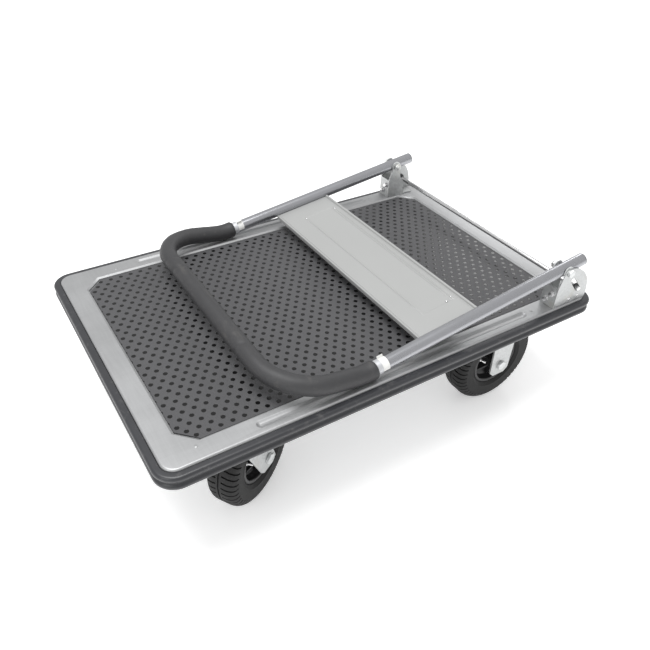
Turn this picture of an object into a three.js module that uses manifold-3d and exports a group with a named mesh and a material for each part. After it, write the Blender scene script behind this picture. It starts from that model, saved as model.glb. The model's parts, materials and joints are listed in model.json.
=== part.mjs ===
// A folding platform cart: pressed deck, rubber edge, cranked fold-down handle, two swivel and two
// rigid casters with air tyres. Millimetres, +Z up, +X towards the handle hinge, floor at z = 0.
import * as THREE from "three";
import { mergeVertices } from "three/addons/utils/BufferGeometryUtils.js";
import Module from "manifold-3d";

const wasm = await Module();
wasm.setup();

// ---- fits ----
const gap = 0.3; // between pieces that touch
const boltFit = 0.4; // round a bolt in its hole, on radius
const runningFit = 0.8; // between pieces that turn or slide

// ---- deck ----
const deckLength = 904; // pressed tray, without the rubber edge
const deckWidth = 581;
const deckCorner = 24;
const skirtDepth = 34;
const sheet = 2;
const rimWidth = 42;
const recessDepth = 6;
const recessChamfer = 32;
const matThickness = 2.5;
const matPlay = 0.6;
const grooveLength = deckLength - 314; // pressed into each long rim, under the folded handle's tubes
const grooveWidth = 22;
const grooveDepth = 3;

// ---- rubber edge ----
const edgeThickness = 14;
const edgeTopDrop = 3; // below the deck's top
const edgeHeight = 27;
const edgeBead = 10; // height of each of the two rolls
const edgeGroove = 4; // depth of the groove between them

// ---- channels under the deck ----
const channelWidth = 112;
const channelDepth = 12;
const channelSheet = 2.5;
const channelEndGap = 6; // to the inside of the skirt
const railWidth = 60;

// ---- wheels ----
const tyreRadius = 100;
const deckTop = 2 * tyreRadius + 46; // the tyres clear the tray's underside
const tyreWidth = 62;
const tyreShoulder = 19;
const beadRadius = 52;
const rimHalfWidth = 24;
const rimWall = 2.5;
const rimLip = 4; // how far the rim's edges stand out past the bead seat
const hubRadius = 19;
const hubHalfLength = 29;
const bearingRadius = 16;
const bearingWidth = 10;
const axleRadius = 6;

// ---- casters ----
const forkSheet = 4;
const forkSideGap = 5; // between tyre and fork
const forkLegWidth = 50;
const forkLegBelowAxle = 26;
const topPlateLength = 108;
const topPlateWidth = 84;
const topPlateThickness = 5;
const raceRadius = 37;
const raceHeight = 9;
const kingpinRadius = 8;
const hexAcross = 19;
const hexHeight = 6;
const rigidX = deckLength / 2 - 164;
const rigidY = deckWidth / 2 - 81.5;
const swivelX = 142 - deckLength / 2;
const swivelY = deckWidth / 2 - 76.5;
const swivelTrail = 45;
const nearSwivelDeg = 31; // how far each swivel caster has turned
const farSwivelDeg = 12;

// ---- handle ----
const tubeRadius = 12.5;
const tubeWall = 1.6;
const handleHalfWidth = deckWidth / 2 - 20; // to the tube's centre
const tailLength = 49; // tube past the pivot
const crankFromHinge = 470; // pivot to where the grip end turns up
const crankDeg = 17.3;
const crankBendRadius = 90;
const gripFromCrank = 156; // bend to the cross bar's centre line
const crankHeight = tubeRadius + 2; // folded tubes' centre line there, above the deck
const handleCorner = 90;
const gripRadius = tubeRadius + 4.75;
const sleeveFromHinge = 445; // pivot to the soft grip's ends
const plugLength = 14;

// ---- handle hinge ----
const hingeX = deckLength / 2 - 81;
const hingeHeight = 78.3; // pivot above the deck
const bracketSheet = 2.5;
const cheekGap = 2 * tubeRadius + 4; // between a bracket's two cheeks, a washer's room each side
const bracketNose = 46; // height of the plate that joins the cheeks
const pivotRadius = 5;
const noseClearance = 5; // to the upright tubes, which lean back on to it
const washerRadius = 12;

// ---- cross panel ----
const panelFromHinge = 201;
const panelWidth = 137;
const panelSheet = 1.5;
const panelLip = 9;
const panelDrop = 4; // below the tubes' centre line
const panelRib = 3;

// ---- locking bar ----
const barRadius = 5;
const barRestX = hingeX + 40; // let down, clear of the tubes' ends
const barRestHeight = 30; // above the deck
const barSlopeDeg = 48;
const barEndPast = 3.5; // past the outer cheek

const tubeSides = 14;
const boreSides = 10;
const cheekInner = handleHalfWidth - cheekGap / 2;
const cheekOuter = handleHalfWidth + cheekGap / 2;
const axleHeight = tyreRadius;
const plateTop = deckTop - recessDepth - sheet - channelDepth - gap;
const forkOffset = tyreWidth / 2 + forkSideGap;
const pivotZ = deckTop + hingeHeight;
const slope = Math.asin((hingeHeight - crankHeight) / crankFromHinge); // of the folded handle
const crank = THREE.MathUtils.degToRad(crankDeg);

const material = (color, roughness, metalness) =>
  new THREE.MeshStandardMaterial({ color, roughness, metalness });
const brushedSteel = material(0xb9bbbe, 0.38, 0.85);
const paintedSheet = material(0xc4c6c4, 0.5, 0.35);
const tubeFinish = material(0xa7a9b0, 0.3, 0.75);
const zinc = material(0xb4b9bb, 0.42, 0.8);
const matVinyl = material(0x4a4b4d, 0.85, 0);
const rubber = material(0x55575c, 0.45, 0);
const tyreRubber = material(0x222222, 0.75, 0);
const blackRim = material(0x151515, 0.4, 0.1);
const foam = material(0x3a3a3c, 0.7, 0);
const plastic = material(0x2a2a2c, 0.6, 0);

// ---- solids ----
function solid(geometry, matrix = new THREE.Matrix4()) {
  const bare = (geometry.index ? geometry.toNonIndexed() : geometry.clone()).applyMatrix4(matrix);
  bare.deleteAttribute("normal");
  bare.deleteAttribute("uv");
  const merged = mergeVertices(bare, 1e-4);
  return new wasm.Manifold(
    new wasm.Mesh({
      numProp: 3,
      vertProperties: merged.attributes.position.array,
      triVerts: new Uint32Array(merged.index.array),
    }),
  );
}

function asMesh(body, name, finish) {
  const made = body.getMesh();
  const geometry = new THREE.BufferGeometry();
  geometry.setAttribute("position", new THREE.BufferAttribute(made.vertProperties, 3));
  geometry.setIndex(new THREE.BufferAttribute(made.triVerts, 1));
  geometry.computeVertexNormals();
  const mesh = new THREE.Mesh(geometry, finish);
  mesh.name = name;
  return mesh;
}

const move = (x, y, z) => new THREE.Matrix4().makeTranslation(x, y, z);

// A flat outline of [x, y] corners, raised from z = low to z = high.
function plate(corners, low, high, holes = []) {
  const shape = new THREE.Shape(corners.map(([x, y]) => new THREE.Vector2(x, y)));
  holes.forEach((h) => shape.holes.push(new THREE.Path(h.map(([x, y]) => new THREE.Vector2(x, y)))));
  const geometry = new THREE.ExtrudeGeometry(shape, { depth: high - low, bevelEnabled: false });
  return solid(geometry, move(0, 0, low));
}

// The same, drawn in x and z and standing between two values of y.
function upright(corners, y0, y1) {
  const shape = new THREE.Shape(corners.map(([x, z]) => new THREE.Vector2(x, z)));
  const geometry = new THREE.ExtrudeGeometry(shape, { depth: y1 - y0, bevelEnabled: false });
  const turn = new THREE.Matrix4().makeRotationX(Math.PI / 2);
  return solid(geometry, move(0, y1, 0).multiply(turn));
}

function box(x0, x1, y0, y1, z0, z1) {
  const geometry = new THREE.BoxGeometry(x1 - x0, y1 - y0, z1 - z0);
  return solid(geometry, move((x0 + x1) / 2, (y0 + y1) / 2, (z0 + z1) / 2));
}

// A round bar along y.
function pin(x, z, radius, y0, y1, sides = 20) {
  return solid(new THREE.CylinderGeometry(radius, radius, y1 - y0, sides), move(x, (y0 + y1) / 2, z));
}

// A round bar along z.
function post(x, y, radius, z0, z1, sides = 24) {
  const turn = new THREE.Matrix4().makeRotationX(Math.PI / 2);
  const geometry = new THREE.CylinderGeometry(radius, radius, z1 - z0, sides);
  return solid(geometry, move(x, y, (z0 + z1) / 2).multiply(turn));
}

const hexPin = (x, z, across, y0, y1) => pin(x, z, across / Math.sqrt(3), y0, y1, 6);

// A turned piece about the y axis, from [radius, y] corners given in order round its section.
function turned(corners, segments) {
  const points = corners.map(([r, y]) => new THREE.Vector2(r, y));
  points.push(points[0].clone());
  return solid(new THREE.LatheGeometry(points, segments));
}

function roundedRectangle(length, width, corner, steps = 6) {
  const points = [];
  const centres = [
    [length / 2 - corner, width / 2 - corner, 0],
    [-length / 2 + corner, width / 2 - corner, 90],
    [-length / 2 + corner, -width / 2 + corner, 180],
    [length / 2 - corner, -width / 2 + corner, 270],
  ];
  for (const [cx, cy, start] of centres) {
    for (let i = 0; i <= steps; i++) {
      const a = THREE.MathUtils.degToRad(start + (90 * i) / steps);
      points.push([cx + corner * Math.cos(a), cy + corner * Math.sin(a)]);
    }
  }
  return points;
}

function cutCorners(length, width, cut) {
  const [a, b] = [length / 2, width / 2];
  return [
    [a, -b + cut],
    [a, b - cut],
    [a - cut, b],
    [-a + cut, b],
    [-a, b - cut],
    [-a, -b + cut],
    [-a + cut, -b],
    [a - cut, -b],
  ];
}

// A slot-shaped outline between two points.
function slotOutline([x0, y0], [x1, y1], radius, steps = 8) {
  const along = Math.atan2(y1 - y0, x1 - x0);
  const points = [];
  for (let i = 0; i <= steps; i++) {
    const a = along - Math.PI / 2 + (Math.PI * i) / steps;
    points.push([x1 + radius * Math.cos(a), y1 + radius * Math.sin(a)]);
  }
  for (let i = 0; i <= steps; i++) {
    const a = along + Math.PI / 2 + (Math.PI * i) / steps;
    points.push([x0 + radius * Math.cos(a), y0 + radius * Math.sin(a)]);
  }
  return points;
}

// A round section carried along a path of points, closed at both ends.
function sweep(points, radius, sides = tubeSides) {
  const rings = points.map((p, i) => {
    const before = points[Math.max(i - 1, 0)];
    const after = points[Math.min(i + 1, points.length - 1)];
    const into = new THREE.Vector3().subVectors(p, before);
    const out = new THREE.Vector3().subVectors(after, p);
    const tangent = into.normalize().add(out.normalize()).normalize();
    return { p, tangent };
  });
  const positions = [];
  const index = [];
  let side = new THREE.Vector3(0, 0, 1).cross(rings[0].tangent).normalize();
  for (const { p, tangent } of rings) {
    side = side.addScaledVector(tangent, -side.dot(tangent)).normalize();
    const other = new THREE.Vector3().crossVectors(tangent, side);
    for (let k = 0; k < sides; k++) {
      const a = (2 * Math.PI * k) / sides;
      const v = p.clone().addScaledVector(side, radius * Math.cos(a));
      v.addScaledVector(other, radius * Math.sin(a));
      positions.push(v.x, v.y, v.z);
    }
  }
  for (let r = 0; r + 1 < rings.length; r++) {
    for (let k = 0; k < sides; k++) {
      const a = r * sides + k;
      const b = r * sides + ((k + 1) % sides);
      index.push(a, b, b + sides, a, b + sides, a + sides);
    }
  }
  const last = (rings.length - 1) * sides;
  for (let k = 1; k + 1 < sides; k++) {
    index.push(0, k + 1, k);
    index.push(last, last + k, last + k + 1);
  }
  const geometry = new THREE.BufferGeometry();
  geometry.setAttribute("position", new THREE.Float32BufferAttribute(positions, 3));
  geometry.setIndex(index);
  return solid(geometry);
}

const cart = new THREE.Group();
cart.name = "folding_platform_cart";
const sides = [
  ["near", -1],
  ["far", 1],
];

// ---- deck tray ----
function deckTray() {
  const bottom = deckTop - skirtDepth;
  const recessTop = deckTop - recessDepth;
  const recess = [deckLength - 2 * rimWidth, deckWidth - 2 * rimWidth, recessChamfer];
  const underRecess = cutCorners(recess[0] + 2 * sheet, recess[1] + 2 * sheet, recess[2]);
  const outer = plate(roundedRectangle(deckLength, deckWidth, deckCorner), bottom, deckTop);
  const inside = roundedRectangle(deckLength - 2 * sheet, deckWidth - 2 * sheet, deckCorner - sheet);
  const hollow = plate(inside, bottom - 1, deckTop - sheet);
  const dish = plate(underRecess, recessTop - sheet, deckTop);
  const dent = plate(cutCorners(...recess), recessTop, deckTop + 1);
  let tray = outer.subtract(hollow.subtract(dish)).subtract(dent);
  for (const [, s] of sides) {
    const y = s * handleHalfWidth;
    const half = (grooveLength - grooveWidth) / 2;
    const groove = (grown) => slotOutline([-half, y], [half, y], grooveWidth / 2 + grown);
    const bottomOfGroove = deckTop - grooveDepth;
    tray = tray.add(plate(groove(1.5), bottomOfGroove - sheet, deckTop - sheet / 2));
    tray = tray.subtract(plate(groove(0), bottomOfGroove, deckTop + 1));
  }
  return tray;
}
cart.add(asMesh(deckTray(), "deck_tray", brushedSteel));

function antiSlipMat() {
  const inset = 2 * (rimWidth + matPlay);
  const low = deckTop - recessDepth + gap;
  return plate(cutCorners(deckLength - inset, deckWidth - inset, recessChamfer), low, low + matThickness);
}
cart.add(asMesh(antiSlipMat(), "anti_slip_mat", matVinyl));

// ---- rubber edge: two rolls and the groove between them ----
function edgeBand(thickness, z0, z1) {
  const inner = roundedRectangle(deckLength + 2 * gap, deckWidth + 2 * gap, deckCorner + gap);
  const t = 2 * thickness;
  const outer = roundedRectangle(deckLength + t, deckWidth + t, deckCorner + thickness);
  return plate(outer, z0, z1, [inner]);
}
function rubberEdge() {
  const top = deckTop - edgeTopDrop;
  const bottom = top - edgeHeight;
  const shoulder = 2;
  const soft = edgeThickness - shoulder;
  return edgeBand(soft, bottom, bottom + shoulder)
    .add(edgeBand(edgeThickness, bottom + shoulder, bottom + edgeBead))
    .add(edgeBand(edgeThickness - edgeGroove, bottom + edgeBead, top - edgeBead))
    .add(edgeBand(edgeThickness, top - edgeBead, top - shoulder))
    .add(edgeBand(soft, top - shoulder, top));
}
cart.add(asMesh(rubberEdge(), "edge_bumper", rubber));

// ---- channels that carry the casters ----
const channelLow = plateTop + gap;
const channelHigh = deckTop - recessDepth - sheet - gap;
function crossChannel(x) {
  const reach = deckWidth / 2 - sheet - channelEndGap;
  const half = channelWidth / 2;
  const outer = box(x - half, x + half, -reach, reach, channelLow, channelHigh);
  const inner = box(
    x - half + channelSheet,
    x + half - channelSheet,
    -reach - 1,
    reach + 1,
    channelLow + channelSheet,
    channelHigh + 1,
  );
  return outer.subtract(inner);
}
cart.add(asMesh(crossChannel(rigidX), "cross_channel_hinge_end", brushedSteel));
cart.add(asMesh(crossChannel(swivelX), "cross_channel_swivel_end", brushedSteel));

function spineRail() {
  const x0 = swivelX + channelWidth / 2 + gap;
  const x1 = rigidX - channelWidth / 2 - gap;
  const half = railWidth / 2;
  const outer = box(x0, x1, -half, half, channelLow, channelHigh);
  const wall = half - channelSheet;
  return outer.subtract(box(x0 - 1, x1 + 1, -wall, wall, channelLow + channelSheet, channelHigh + 1));
}
cart.add(asMesh(spineRail(), "spine_rail", brushedSteel));

// ---- wheel, built about its own axle along y ----
function tyre() {
  const half = tyreWidth / 2;
  const radius = tyreRadius - tyreShoulder;
  const side = half - tyreShoulder;
  const points = [];
  const steps = 3;
  for (const s of [-1, 1]) {
    for (let i = 0; i <= steps; i++) {
      const a = (Math.PI / 2) * (s < 0 ? i / steps : 1 - i / steps);
      points.push([radius + tyreShoulder * Math.sin(a), s * (side + tyreShoulder * Math.cos(a))]);
    }
  }
  const seat = rimHalfWidth - rimWall - gap;
  const foot = beadRadius + rimLip + 2 * gap;
  points.push([foot, rimHalfWidth], [foot, seat], [beadRadius + gap, seat]);
  points.push([beadRadius + gap, -seat], [foot, -seat], [foot, -rimHalfWidth]);
  return turned(points, 32);
}
function rim() {
  const lip = beadRadius + rimLip;
  const well = beadRadius - rimWall;
  const disc = 4;
  return turned(
    [
      [bearingRadius + boltFit, -hubHalfLength],
      [hubRadius, -hubHalfLength],
      [hubRadius, -disc],
      [well, -disc],
      [well, -rimHalfWidth],
      [lip, -rimHalfWidth],
      [lip, -rimHalfWidth + rimWall],
      [beadRadius, -rimHalfWidth + rimWall],
      [beadRadius, rimHalfWidth - rimWall],
      [lip, rimHalfWidth - rimWall],
      [lip, rimHalfWidth],
      [well, rimHalfWidth],
      [well, disc],
      [hubRadius, disc],
      [hubRadius, hubHalfLength],
      [bearingRadius + boltFit, hubHalfLength],
    ],
    24,
  );
}
function bearing(side) {
  const outer = hubHalfLength - 1;
  const inner = outer - bearingWidth;
  const [y0, y1] = side > 0 ? [inner, outer] : [-outer, -inner];
  return turned(
    [
      [axleRadius + boltFit, y0],
      [bearingRadius, y0],
      [bearingRadius, y1],
      [axleRadius + boltFit, y1],
    ],
    24,
  );
}
function axleBolt() {
  const face = forkOffset + forkSheet + gap;
  const shank = pin(0, 0, axleRadius, -face - 1, face + hexHeight + 4, 16);
  return shank.add(hexPin(0, 0, hexAcross, -face - hexHeight, -face));
}
function axleNut() {
  const face = forkOffset + forkSheet + gap;
  const hole = pin(0, 0, axleRadius + gap, face - 1, face + hexHeight + 1, 16);
  return hexPin(0, 0, hexAcross, face, face + hexHeight).subtract(hole);
}
function wheelSet(name) {
  const group = new THREE.Group();
  group.add(asMesh(tyre(), name + "_tyre", tyreRubber));
  group.add(asMesh(rim(), name + "_rim", blackRim));
  group.add(asMesh(bearing(-1), name + "_bearing_outboard", zinc));
  group.add(asMesh(bearing(1), name + "_bearing_inboard", zinc));
  group.add(asMesh(axleBolt(), name + "_axle_bolt", zinc));
  group.add(asMesh(axleNut(), name + "_axle_nut", zinc));
  return group;
}

// ---- forks, about the wheel's axle; the crown may lie ahead of it ----
function forkLegs(crownLow, crownHigh, crownX0, crownX1) {
  const legTop = crownHigh;
  const half = forkLegWidth / 2;
  const corner = 10;
  const outline = [
    [-half + corner, -forkLegBelowAxle],
    [half - corner, -forkLegBelowAxle],
    [half, -forkLegBelowAxle + corner],
    [crownX1, crownLow - 6],
    [crownX1, legTop],
    [crownX0, legTop],
    [crownX0, crownLow - 6],
    [-half, -forkLegBelowAxle + corner],
  ];
  let fork = box(crownX0, crownX1, -forkOffset - forkSheet, forkOffset + forkSheet, crownLow, crownHigh);
  for (const s of [-1, 1]) {
    const [y0, y1] = s > 0 ? [forkOffset, forkOffset + forkSheet] : [-forkOffset - forkSheet, -forkOffset];
    fork = fork.add(upright(outline, y0, y1));
  }
  const hole = pin(0, 0, axleRadius + boltFit, -forkOffset - forkSheet - 1, forkOffset + forkSheet + 1, 16);
  return fork.subtract(hole);
}

// A rigid caster's fork runs straight up to its bolting plate.
function rigidFork() {
  const under = plateTop - topPlateThickness - axleHeight;
  const legs = forkLegs(under - forkSheet, under + 1, -forkLegWidth / 2 - 4, forkLegWidth / 2 + 4);
  const [a, b] = [topPlateLength / 2, topPlateWidth / 2 + 6];
  return legs.add(box(-a, a, -b, b, under, under + topPlateThickness));
}

for (const [side, s] of sides) {
  const group = new THREE.Group();
  group.position.set(rigidX, s * rigidY, axleHeight);
  if (s > 0) group.rotation.z = Math.PI;
  group.add(asMesh(rigidFork(), "rigid_fork_" + side, zinc));
  group.add(wheelSet("rigid_" + side));
  cart.add(group);
}

// ---- swivel casters, about the kingpin: the wheel trails towards +x before it is turned ----
const swivelPlateLow = plateTop - topPlateThickness;
const raceLow = swivelPlateLow - gap - raceHeight;
const crownHigh = raceLow - gap;
const crownLow = crownHigh - forkSheet;

function swivelPlate() {
  const [a, b] = [topPlateLength / 2, topPlateWidth / 2];
  const block = box(-a, a, -b, b, swivelPlateLow, plateTop);
  return block.subtract(post(0, 0, kingpinRadius + boltFit, swivelPlateLow - 1, plateTop + 1, 20));
}
function swivelRace() {
  const ring = post(0, 0, raceRadius, raceLow, raceLow + raceHeight, 32);
  return ring.subtract(post(0, 0, kingpinRadius + boltFit, raceLow - 1, raceLow + raceHeight + 1, 20));
}
function kingpin() {
  const headLow = crownLow - gap - hexHeight;
  const shank = post(0, 0, kingpinRadius, headLow + 1, plateTop, 20);
  return shank.add(post(0, 0, kingpinRadius + 6, headLow, crownLow - gap, 6));
}
function swivelFork() {
  const lift = axleHeight;
  const [back, front] = [-swivelTrail - raceRadius, -swivelTrail + raceRadius - 10];
  const legs = forkLegs(crownLow - lift, crownHigh - lift, back, front);
  const hole = post(-swivelTrail, 0, kingpinRadius + boltFit, crownLow - lift - 1, crownHigh - lift + 1, 20);
  return legs.subtract(hole);
}

for (const [side, s] of sides) {
  const turn = s < 0 ? nearSwivelDeg : farSwivelDeg;
  const mount = new THREE.Group();
  mount.position.set(swivelX, s * swivelY, 0);
  mount.add(asMesh(swivelPlate(), "swivel_plate_" + side, zinc));
  mount.add(asMesh(swivelRace(), "swivel_race_" + side, zinc));
  const head = new THREE.Group();
  head.rotation.z = THREE.MathUtils.degToRad(turn);
  head.add(asMesh(kingpin(), "kingpin_" + side, zinc));
  const carriage = new THREE.Group();
  carriage.position.set(swivelTrail, 0, axleHeight);
  carriage.add(asMesh(swivelFork(), "swivel_fork_" + side, zinc));
  carriage.add(wheelSet("swivel_" + side));
  head.add(carriage);
  mount.add(head);
  cart.add(mount);
}

// ---- hinge brackets ----
const barSlope = THREE.MathUtils.degToRad(barSlopeDeg);
const barRest = [barRestX, deckTop + barRestHeight];
// Pushed in, the bar stands just behind the upright tubes.
const barLockedX = hingeX + tubeRadius + barRadius + runningFit;
const barLocked = [barLockedX, barRest[1] + (barRestX - barLockedX) * Math.tan(barSlope)];
const noseInner = hingeX - tubeRadius - noseClearance;
const noseOuter = noseInner - bracketSheet;
const footLow = deckTop + gap;
const slotFit = barRadius + runningFit;

function outerCheekOutline() {
  return [
    [noseOuter, footLow],
    [barRestX + 29, footLow],
    [barRestX + 31, deckTop + 15],
    [barRestX + 25, deckTop + 43],
    [barRestX + 11, deckTop + 63],
    [hingeX + 26, pivotZ + 3],
    [hingeX + 6, pivotZ + 7],
    [hingeX - 6, pivotZ + 6],
    [hingeX - 12, pivotZ - 4],
    [noseOuter, deckTop + bracketNose],
  ];
}
// The inner cheek stops short of the bar, along the line the bar moves on.
function innerCheekOutline() {
  const off = slotFit + 1;
  const [dx, dz] = [-off * Math.sin(barSlope), -off * Math.cos(barSlope)];
  const backEdge = barRestX - 14;
  return [
    [noseOuter, footLow],
    [backEdge, footLow],
    [backEdge, barRest[1] + dz + (barRestX + dx - backEdge) * Math.tan(barSlope)],
    [barLocked[0] + dx, barLocked[1] + dz],
    [hingeX + 11, pivotZ - 12],
    [hingeX + 11, pivotZ + 7],
    [hingeX - 8, pivotZ + 7],
    [noseOuter, deckTop + bracketNose],
  ];
}
function hingeBracket(s) {
  const between = (a, b) => (s > 0 ? [a, b] : [-b, -a]);
  const [i0, i1] = between(cheekInner - bracketSheet, cheekInner);
  const [o0, o1] = between(cheekOuter, cheekOuter + bracketSheet);
  const [w0, w1] = between(cheekInner - bracketSheet, cheekOuter + bracketSheet);
  let bracket = upright(innerCheekOutline(), i0, i1);
  bracket = bracket.add(upright(outerCheekOutline(), o0, o1));
  bracket = bracket.add(box(noseOuter, noseInner, w0, w1, footLow, deckTop + bracketNose));
  bracket = bracket.add(box(noseOuter, barRest[0] + 14, w0, w1, footLow, footLow + bracketSheet));
  bracket = bracket.subtract(pin(hingeX, pivotZ, pivotRadius + boltFit, w0 - 1, w1 + 1));
  const slot = upright(slotOutline(barRest, barLocked, slotFit), o0 - 1, o1 + 1);
  return bracket.subtract(slot);
}

function pivotBolt(s) {
  const face = cheekOuter + bracketSheet + gap;
  const tip = cheekInner - bracketSheet - hexHeight - 3;
  const [y0, y1] = s > 0 ? [tip, face + 1] : [-face - 1, -tip];
  const [h0, h1] = s > 0 ? [face, face + hexHeight] : [-face - hexHeight, -face];
  return pin(hingeX, pivotZ, pivotRadius, y0, y1, 16).add(hexPin(hingeX, pivotZ, 15, h0, h1));
}
function pivotNut(s) {
  const face = cheekInner - bracketSheet - gap;
  const [y0, y1] = s > 0 ? [face - hexHeight, face] : [-face, -face + hexHeight];
  const hole = pin(hingeX, pivotZ, pivotRadius + gap, y0 - 1, y1 + 1, 16);
  return hexPin(hingeX, pivotZ, 15, y0, y1).subtract(hole);
}
function pivotWasher(s, which) {
  const low = which === "inner" ? cheekInner + gap : handleHalfWidth + tubeRadius + gap;
  const high = which === "inner" ? handleHalfWidth - tubeRadius - gap : cheekOuter - gap;
  const [y0, y1] = s > 0 ? [low, high] : [-high, -low];
  const hole = pin(hingeX, pivotZ, pivotRadius + gap, y0 - 1, y1 + 1, 16);
  return pin(hingeX, pivotZ, washerRadius, y0, y1).subtract(hole);
}
for (const [side, s] of sides) {
  cart.add(asMesh(hingeBracket(s), "hinge_bracket_" + side, zinc));
  cart.add(asMesh(pivotBolt(s), "pivot_bolt_" + side, zinc));
  cart.add(asMesh(pivotNut(s), "pivot_nut_" + side, zinc));
  for (const which of ["inner", "outer"]) {
    cart.add(asMesh(pivotWasher(s, which), "pivot_washer_" + which + "_" + side, plastic));
  }
}

// ---- handle, drawn about its pivot with -x along the tubes and +z on the raised side ----
// Points along one half of the handle, from the tube's tail to the middle of the cross bar.
function handlePath(from) {
  const bendTangent = crankBendRadius * Math.tan(crank / 2);
  const flat = [];
  flat.push([from, 0]);
  flat.push([crankFromHinge - bendTangent, 0]);
  const bendSteps = 4;
  for (let i = 1; i <= bendSteps; i++) {
    const a = (crank * i) / bendSteps;
    flat.push([
      crankFromHinge - bendTangent + crankBendRadius * Math.sin(a),
      crankBendRadius * (1 - Math.cos(a)),
    ]);
  }
  const points = flat.map(([d, h]) => new THREE.Vector3(-d, handleHalfWidth, h));
  const at = (along, y) =>
    new THREE.Vector3(-crankFromHinge - along * Math.cos(crank), y, along * Math.sin(crank));
  const cornerSteps = 10;
  for (let i = 0; i <= cornerSteps; i++) {
    const a = (Math.PI / 2) * (i / cornerSteps);
    const along = gripFromCrank - handleCorner + handleCorner * Math.sin(a);
    points.push(at(along, handleHalfWidth - handleCorner + handleCorner * Math.cos(a)));
  }
  return points;
}
function handleLoop(from) {
  const half = handlePath(from);
  const mirrored = half.map((p) => new THREE.Vector3(p.x, -p.y, p.z)).reverse();
  return half.concat(mirrored);
}
const handle = new THREE.Group();
handle.position.set(hingeX, 0, pivotZ);
handle.rotation.y = -slope;

function handleTube() {
  const outer = sweep(handleLoop(-tailLength), tubeRadius);
  const bore = sweep(handleLoop(-tailLength - 1), tubeRadius - tubeWall, boreSides);
  const open = outer.subtract(bore);
  const reach = handleHalfWidth + tubeRadius + 1;
  return open.subtract(pin(0, 0, pivotRadius + boltFit, -reach, reach));
}
function gripSleeve() {
  const outer = sweep(handleLoop(sleeveFromHinge), gripRadius);
  const inner = sweep(handleLoop(sleeveFromHinge - 1), tubeRadius + gap);
  return outer.subtract(inner);
}
function tubePlug(s) {
  const y = s * handleHalfWidth;
  const turn = new THREE.Matrix4().makeRotationZ(Math.PI / 2);
  const stemRadius = (tubeRadius - tubeWall) * Math.cos(Math.PI / boreSides) - gap;
  const stem = new THREE.CylinderGeometry(stemRadius, stemRadius, plugLength + gap + 1, 14);
  const cap = new THREE.CylinderGeometry(tubeRadius, tubeRadius, 2, 20);
  const stemAt = move(tailLength + gap + 1 - (plugLength + gap + 1) / 2, y, 0).multiply(turn);
  const capAt = move(tailLength + gap + 1, y, 0).multiply(turn);
  return solid(stem, stemAt).add(solid(cap, capAt));
}
function crossPanel() {
  const x1 = -panelFromHinge;
  const x0 = x1 - panelWidth;
  const reach = handleHalfWidth - tubeRadius - gap;
  const top = -panelDrop;
  const faceShape = box(x0, x1, -reach, reach, top - panelSheet, top);
  const lipReach = reach - 2;
  const lipLeft = box(x0, x0 + panelSheet, -lipReach, lipReach, top - panelLip, top - 0.5);
  const lipRight = box(x1 - panelSheet, x1, -lipReach, lipReach, top - panelLip, top - 0.5);
  const field = box(x0 + 42, x1 - 14, -reach + 45, reach - 45, top - 0.5, top + panelRib - 1.5);
  return faceShape.add(lipLeft).add(lipRight).add(field);
}
handle.add(asMesh(handleTube(), "handle_tube", tubeFinish));
handle.add(asMesh(gripSleeve(), "grip_sleeve", foam));
handle.add(asMesh(crossPanel(), "cross_panel", paintedSheet));
for (const [side, s] of sides) handle.add(asMesh(tubePlug(s), "tube_plug_" + side, plastic));
cart.add(handle);

// ---- locking bar across both brackets ----
const barReach = cheekOuter + bracketSheet + barEndPast;
cart.add(asMesh(pin(barRest[0], barRest[1], barRadius, -barReach, barReach), "locking_bar", zinc));
function barRing(s) {
  const face = cheekOuter - runningFit;
  const [y0, y1] = s > 0 ? [face - 4, face] : [-face, -face + 4];
  const hole = pin(barRest[0], barRest[1], barRadius + gap, y0 - 1, y1 + 1, 20);
  return pin(barRest[0], barRest[1], barRadius + 4, y0, y1).subtract(hole);
}
for (const [side, s] of sides) cart.add(asMesh(barRing(s), "bar_ring_" + side, plastic));

export default cart;
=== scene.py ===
"""Finished surfaces for a folding platform cart, built on its solid model.

Every piece is in metres in the model's own frame: +X towards the handle's hinge, +Z up, the floor at z = 0.
"""
import json
import math

import bmesh
import bpy
from mathutils import Matrix, Vector, noise


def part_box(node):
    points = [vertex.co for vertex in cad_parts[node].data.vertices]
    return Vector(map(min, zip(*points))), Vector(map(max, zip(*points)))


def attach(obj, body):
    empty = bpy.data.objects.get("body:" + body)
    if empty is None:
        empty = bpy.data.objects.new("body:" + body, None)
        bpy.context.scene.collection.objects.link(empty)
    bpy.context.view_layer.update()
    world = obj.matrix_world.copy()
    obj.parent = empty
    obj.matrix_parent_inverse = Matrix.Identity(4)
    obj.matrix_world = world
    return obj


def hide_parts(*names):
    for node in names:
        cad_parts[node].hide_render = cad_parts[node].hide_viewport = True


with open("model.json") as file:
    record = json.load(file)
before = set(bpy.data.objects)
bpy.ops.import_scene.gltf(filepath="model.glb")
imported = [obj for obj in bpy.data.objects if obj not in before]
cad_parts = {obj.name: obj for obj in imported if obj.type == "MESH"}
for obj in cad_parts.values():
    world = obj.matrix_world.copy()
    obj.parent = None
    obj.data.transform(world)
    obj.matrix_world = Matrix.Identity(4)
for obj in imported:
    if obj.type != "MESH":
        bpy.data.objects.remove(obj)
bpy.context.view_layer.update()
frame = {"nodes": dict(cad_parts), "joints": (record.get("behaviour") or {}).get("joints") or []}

bl_info = {
    "name": "Folding platform cart",
    "version": (1, 0, 0),
    "blender": (4, 5, 0),
    "location": "3D View > Sidebar > Cart",
    "description": "Builds the finished surfaces of a folding platform cart",
    "category": "Add Mesh",
}

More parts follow.
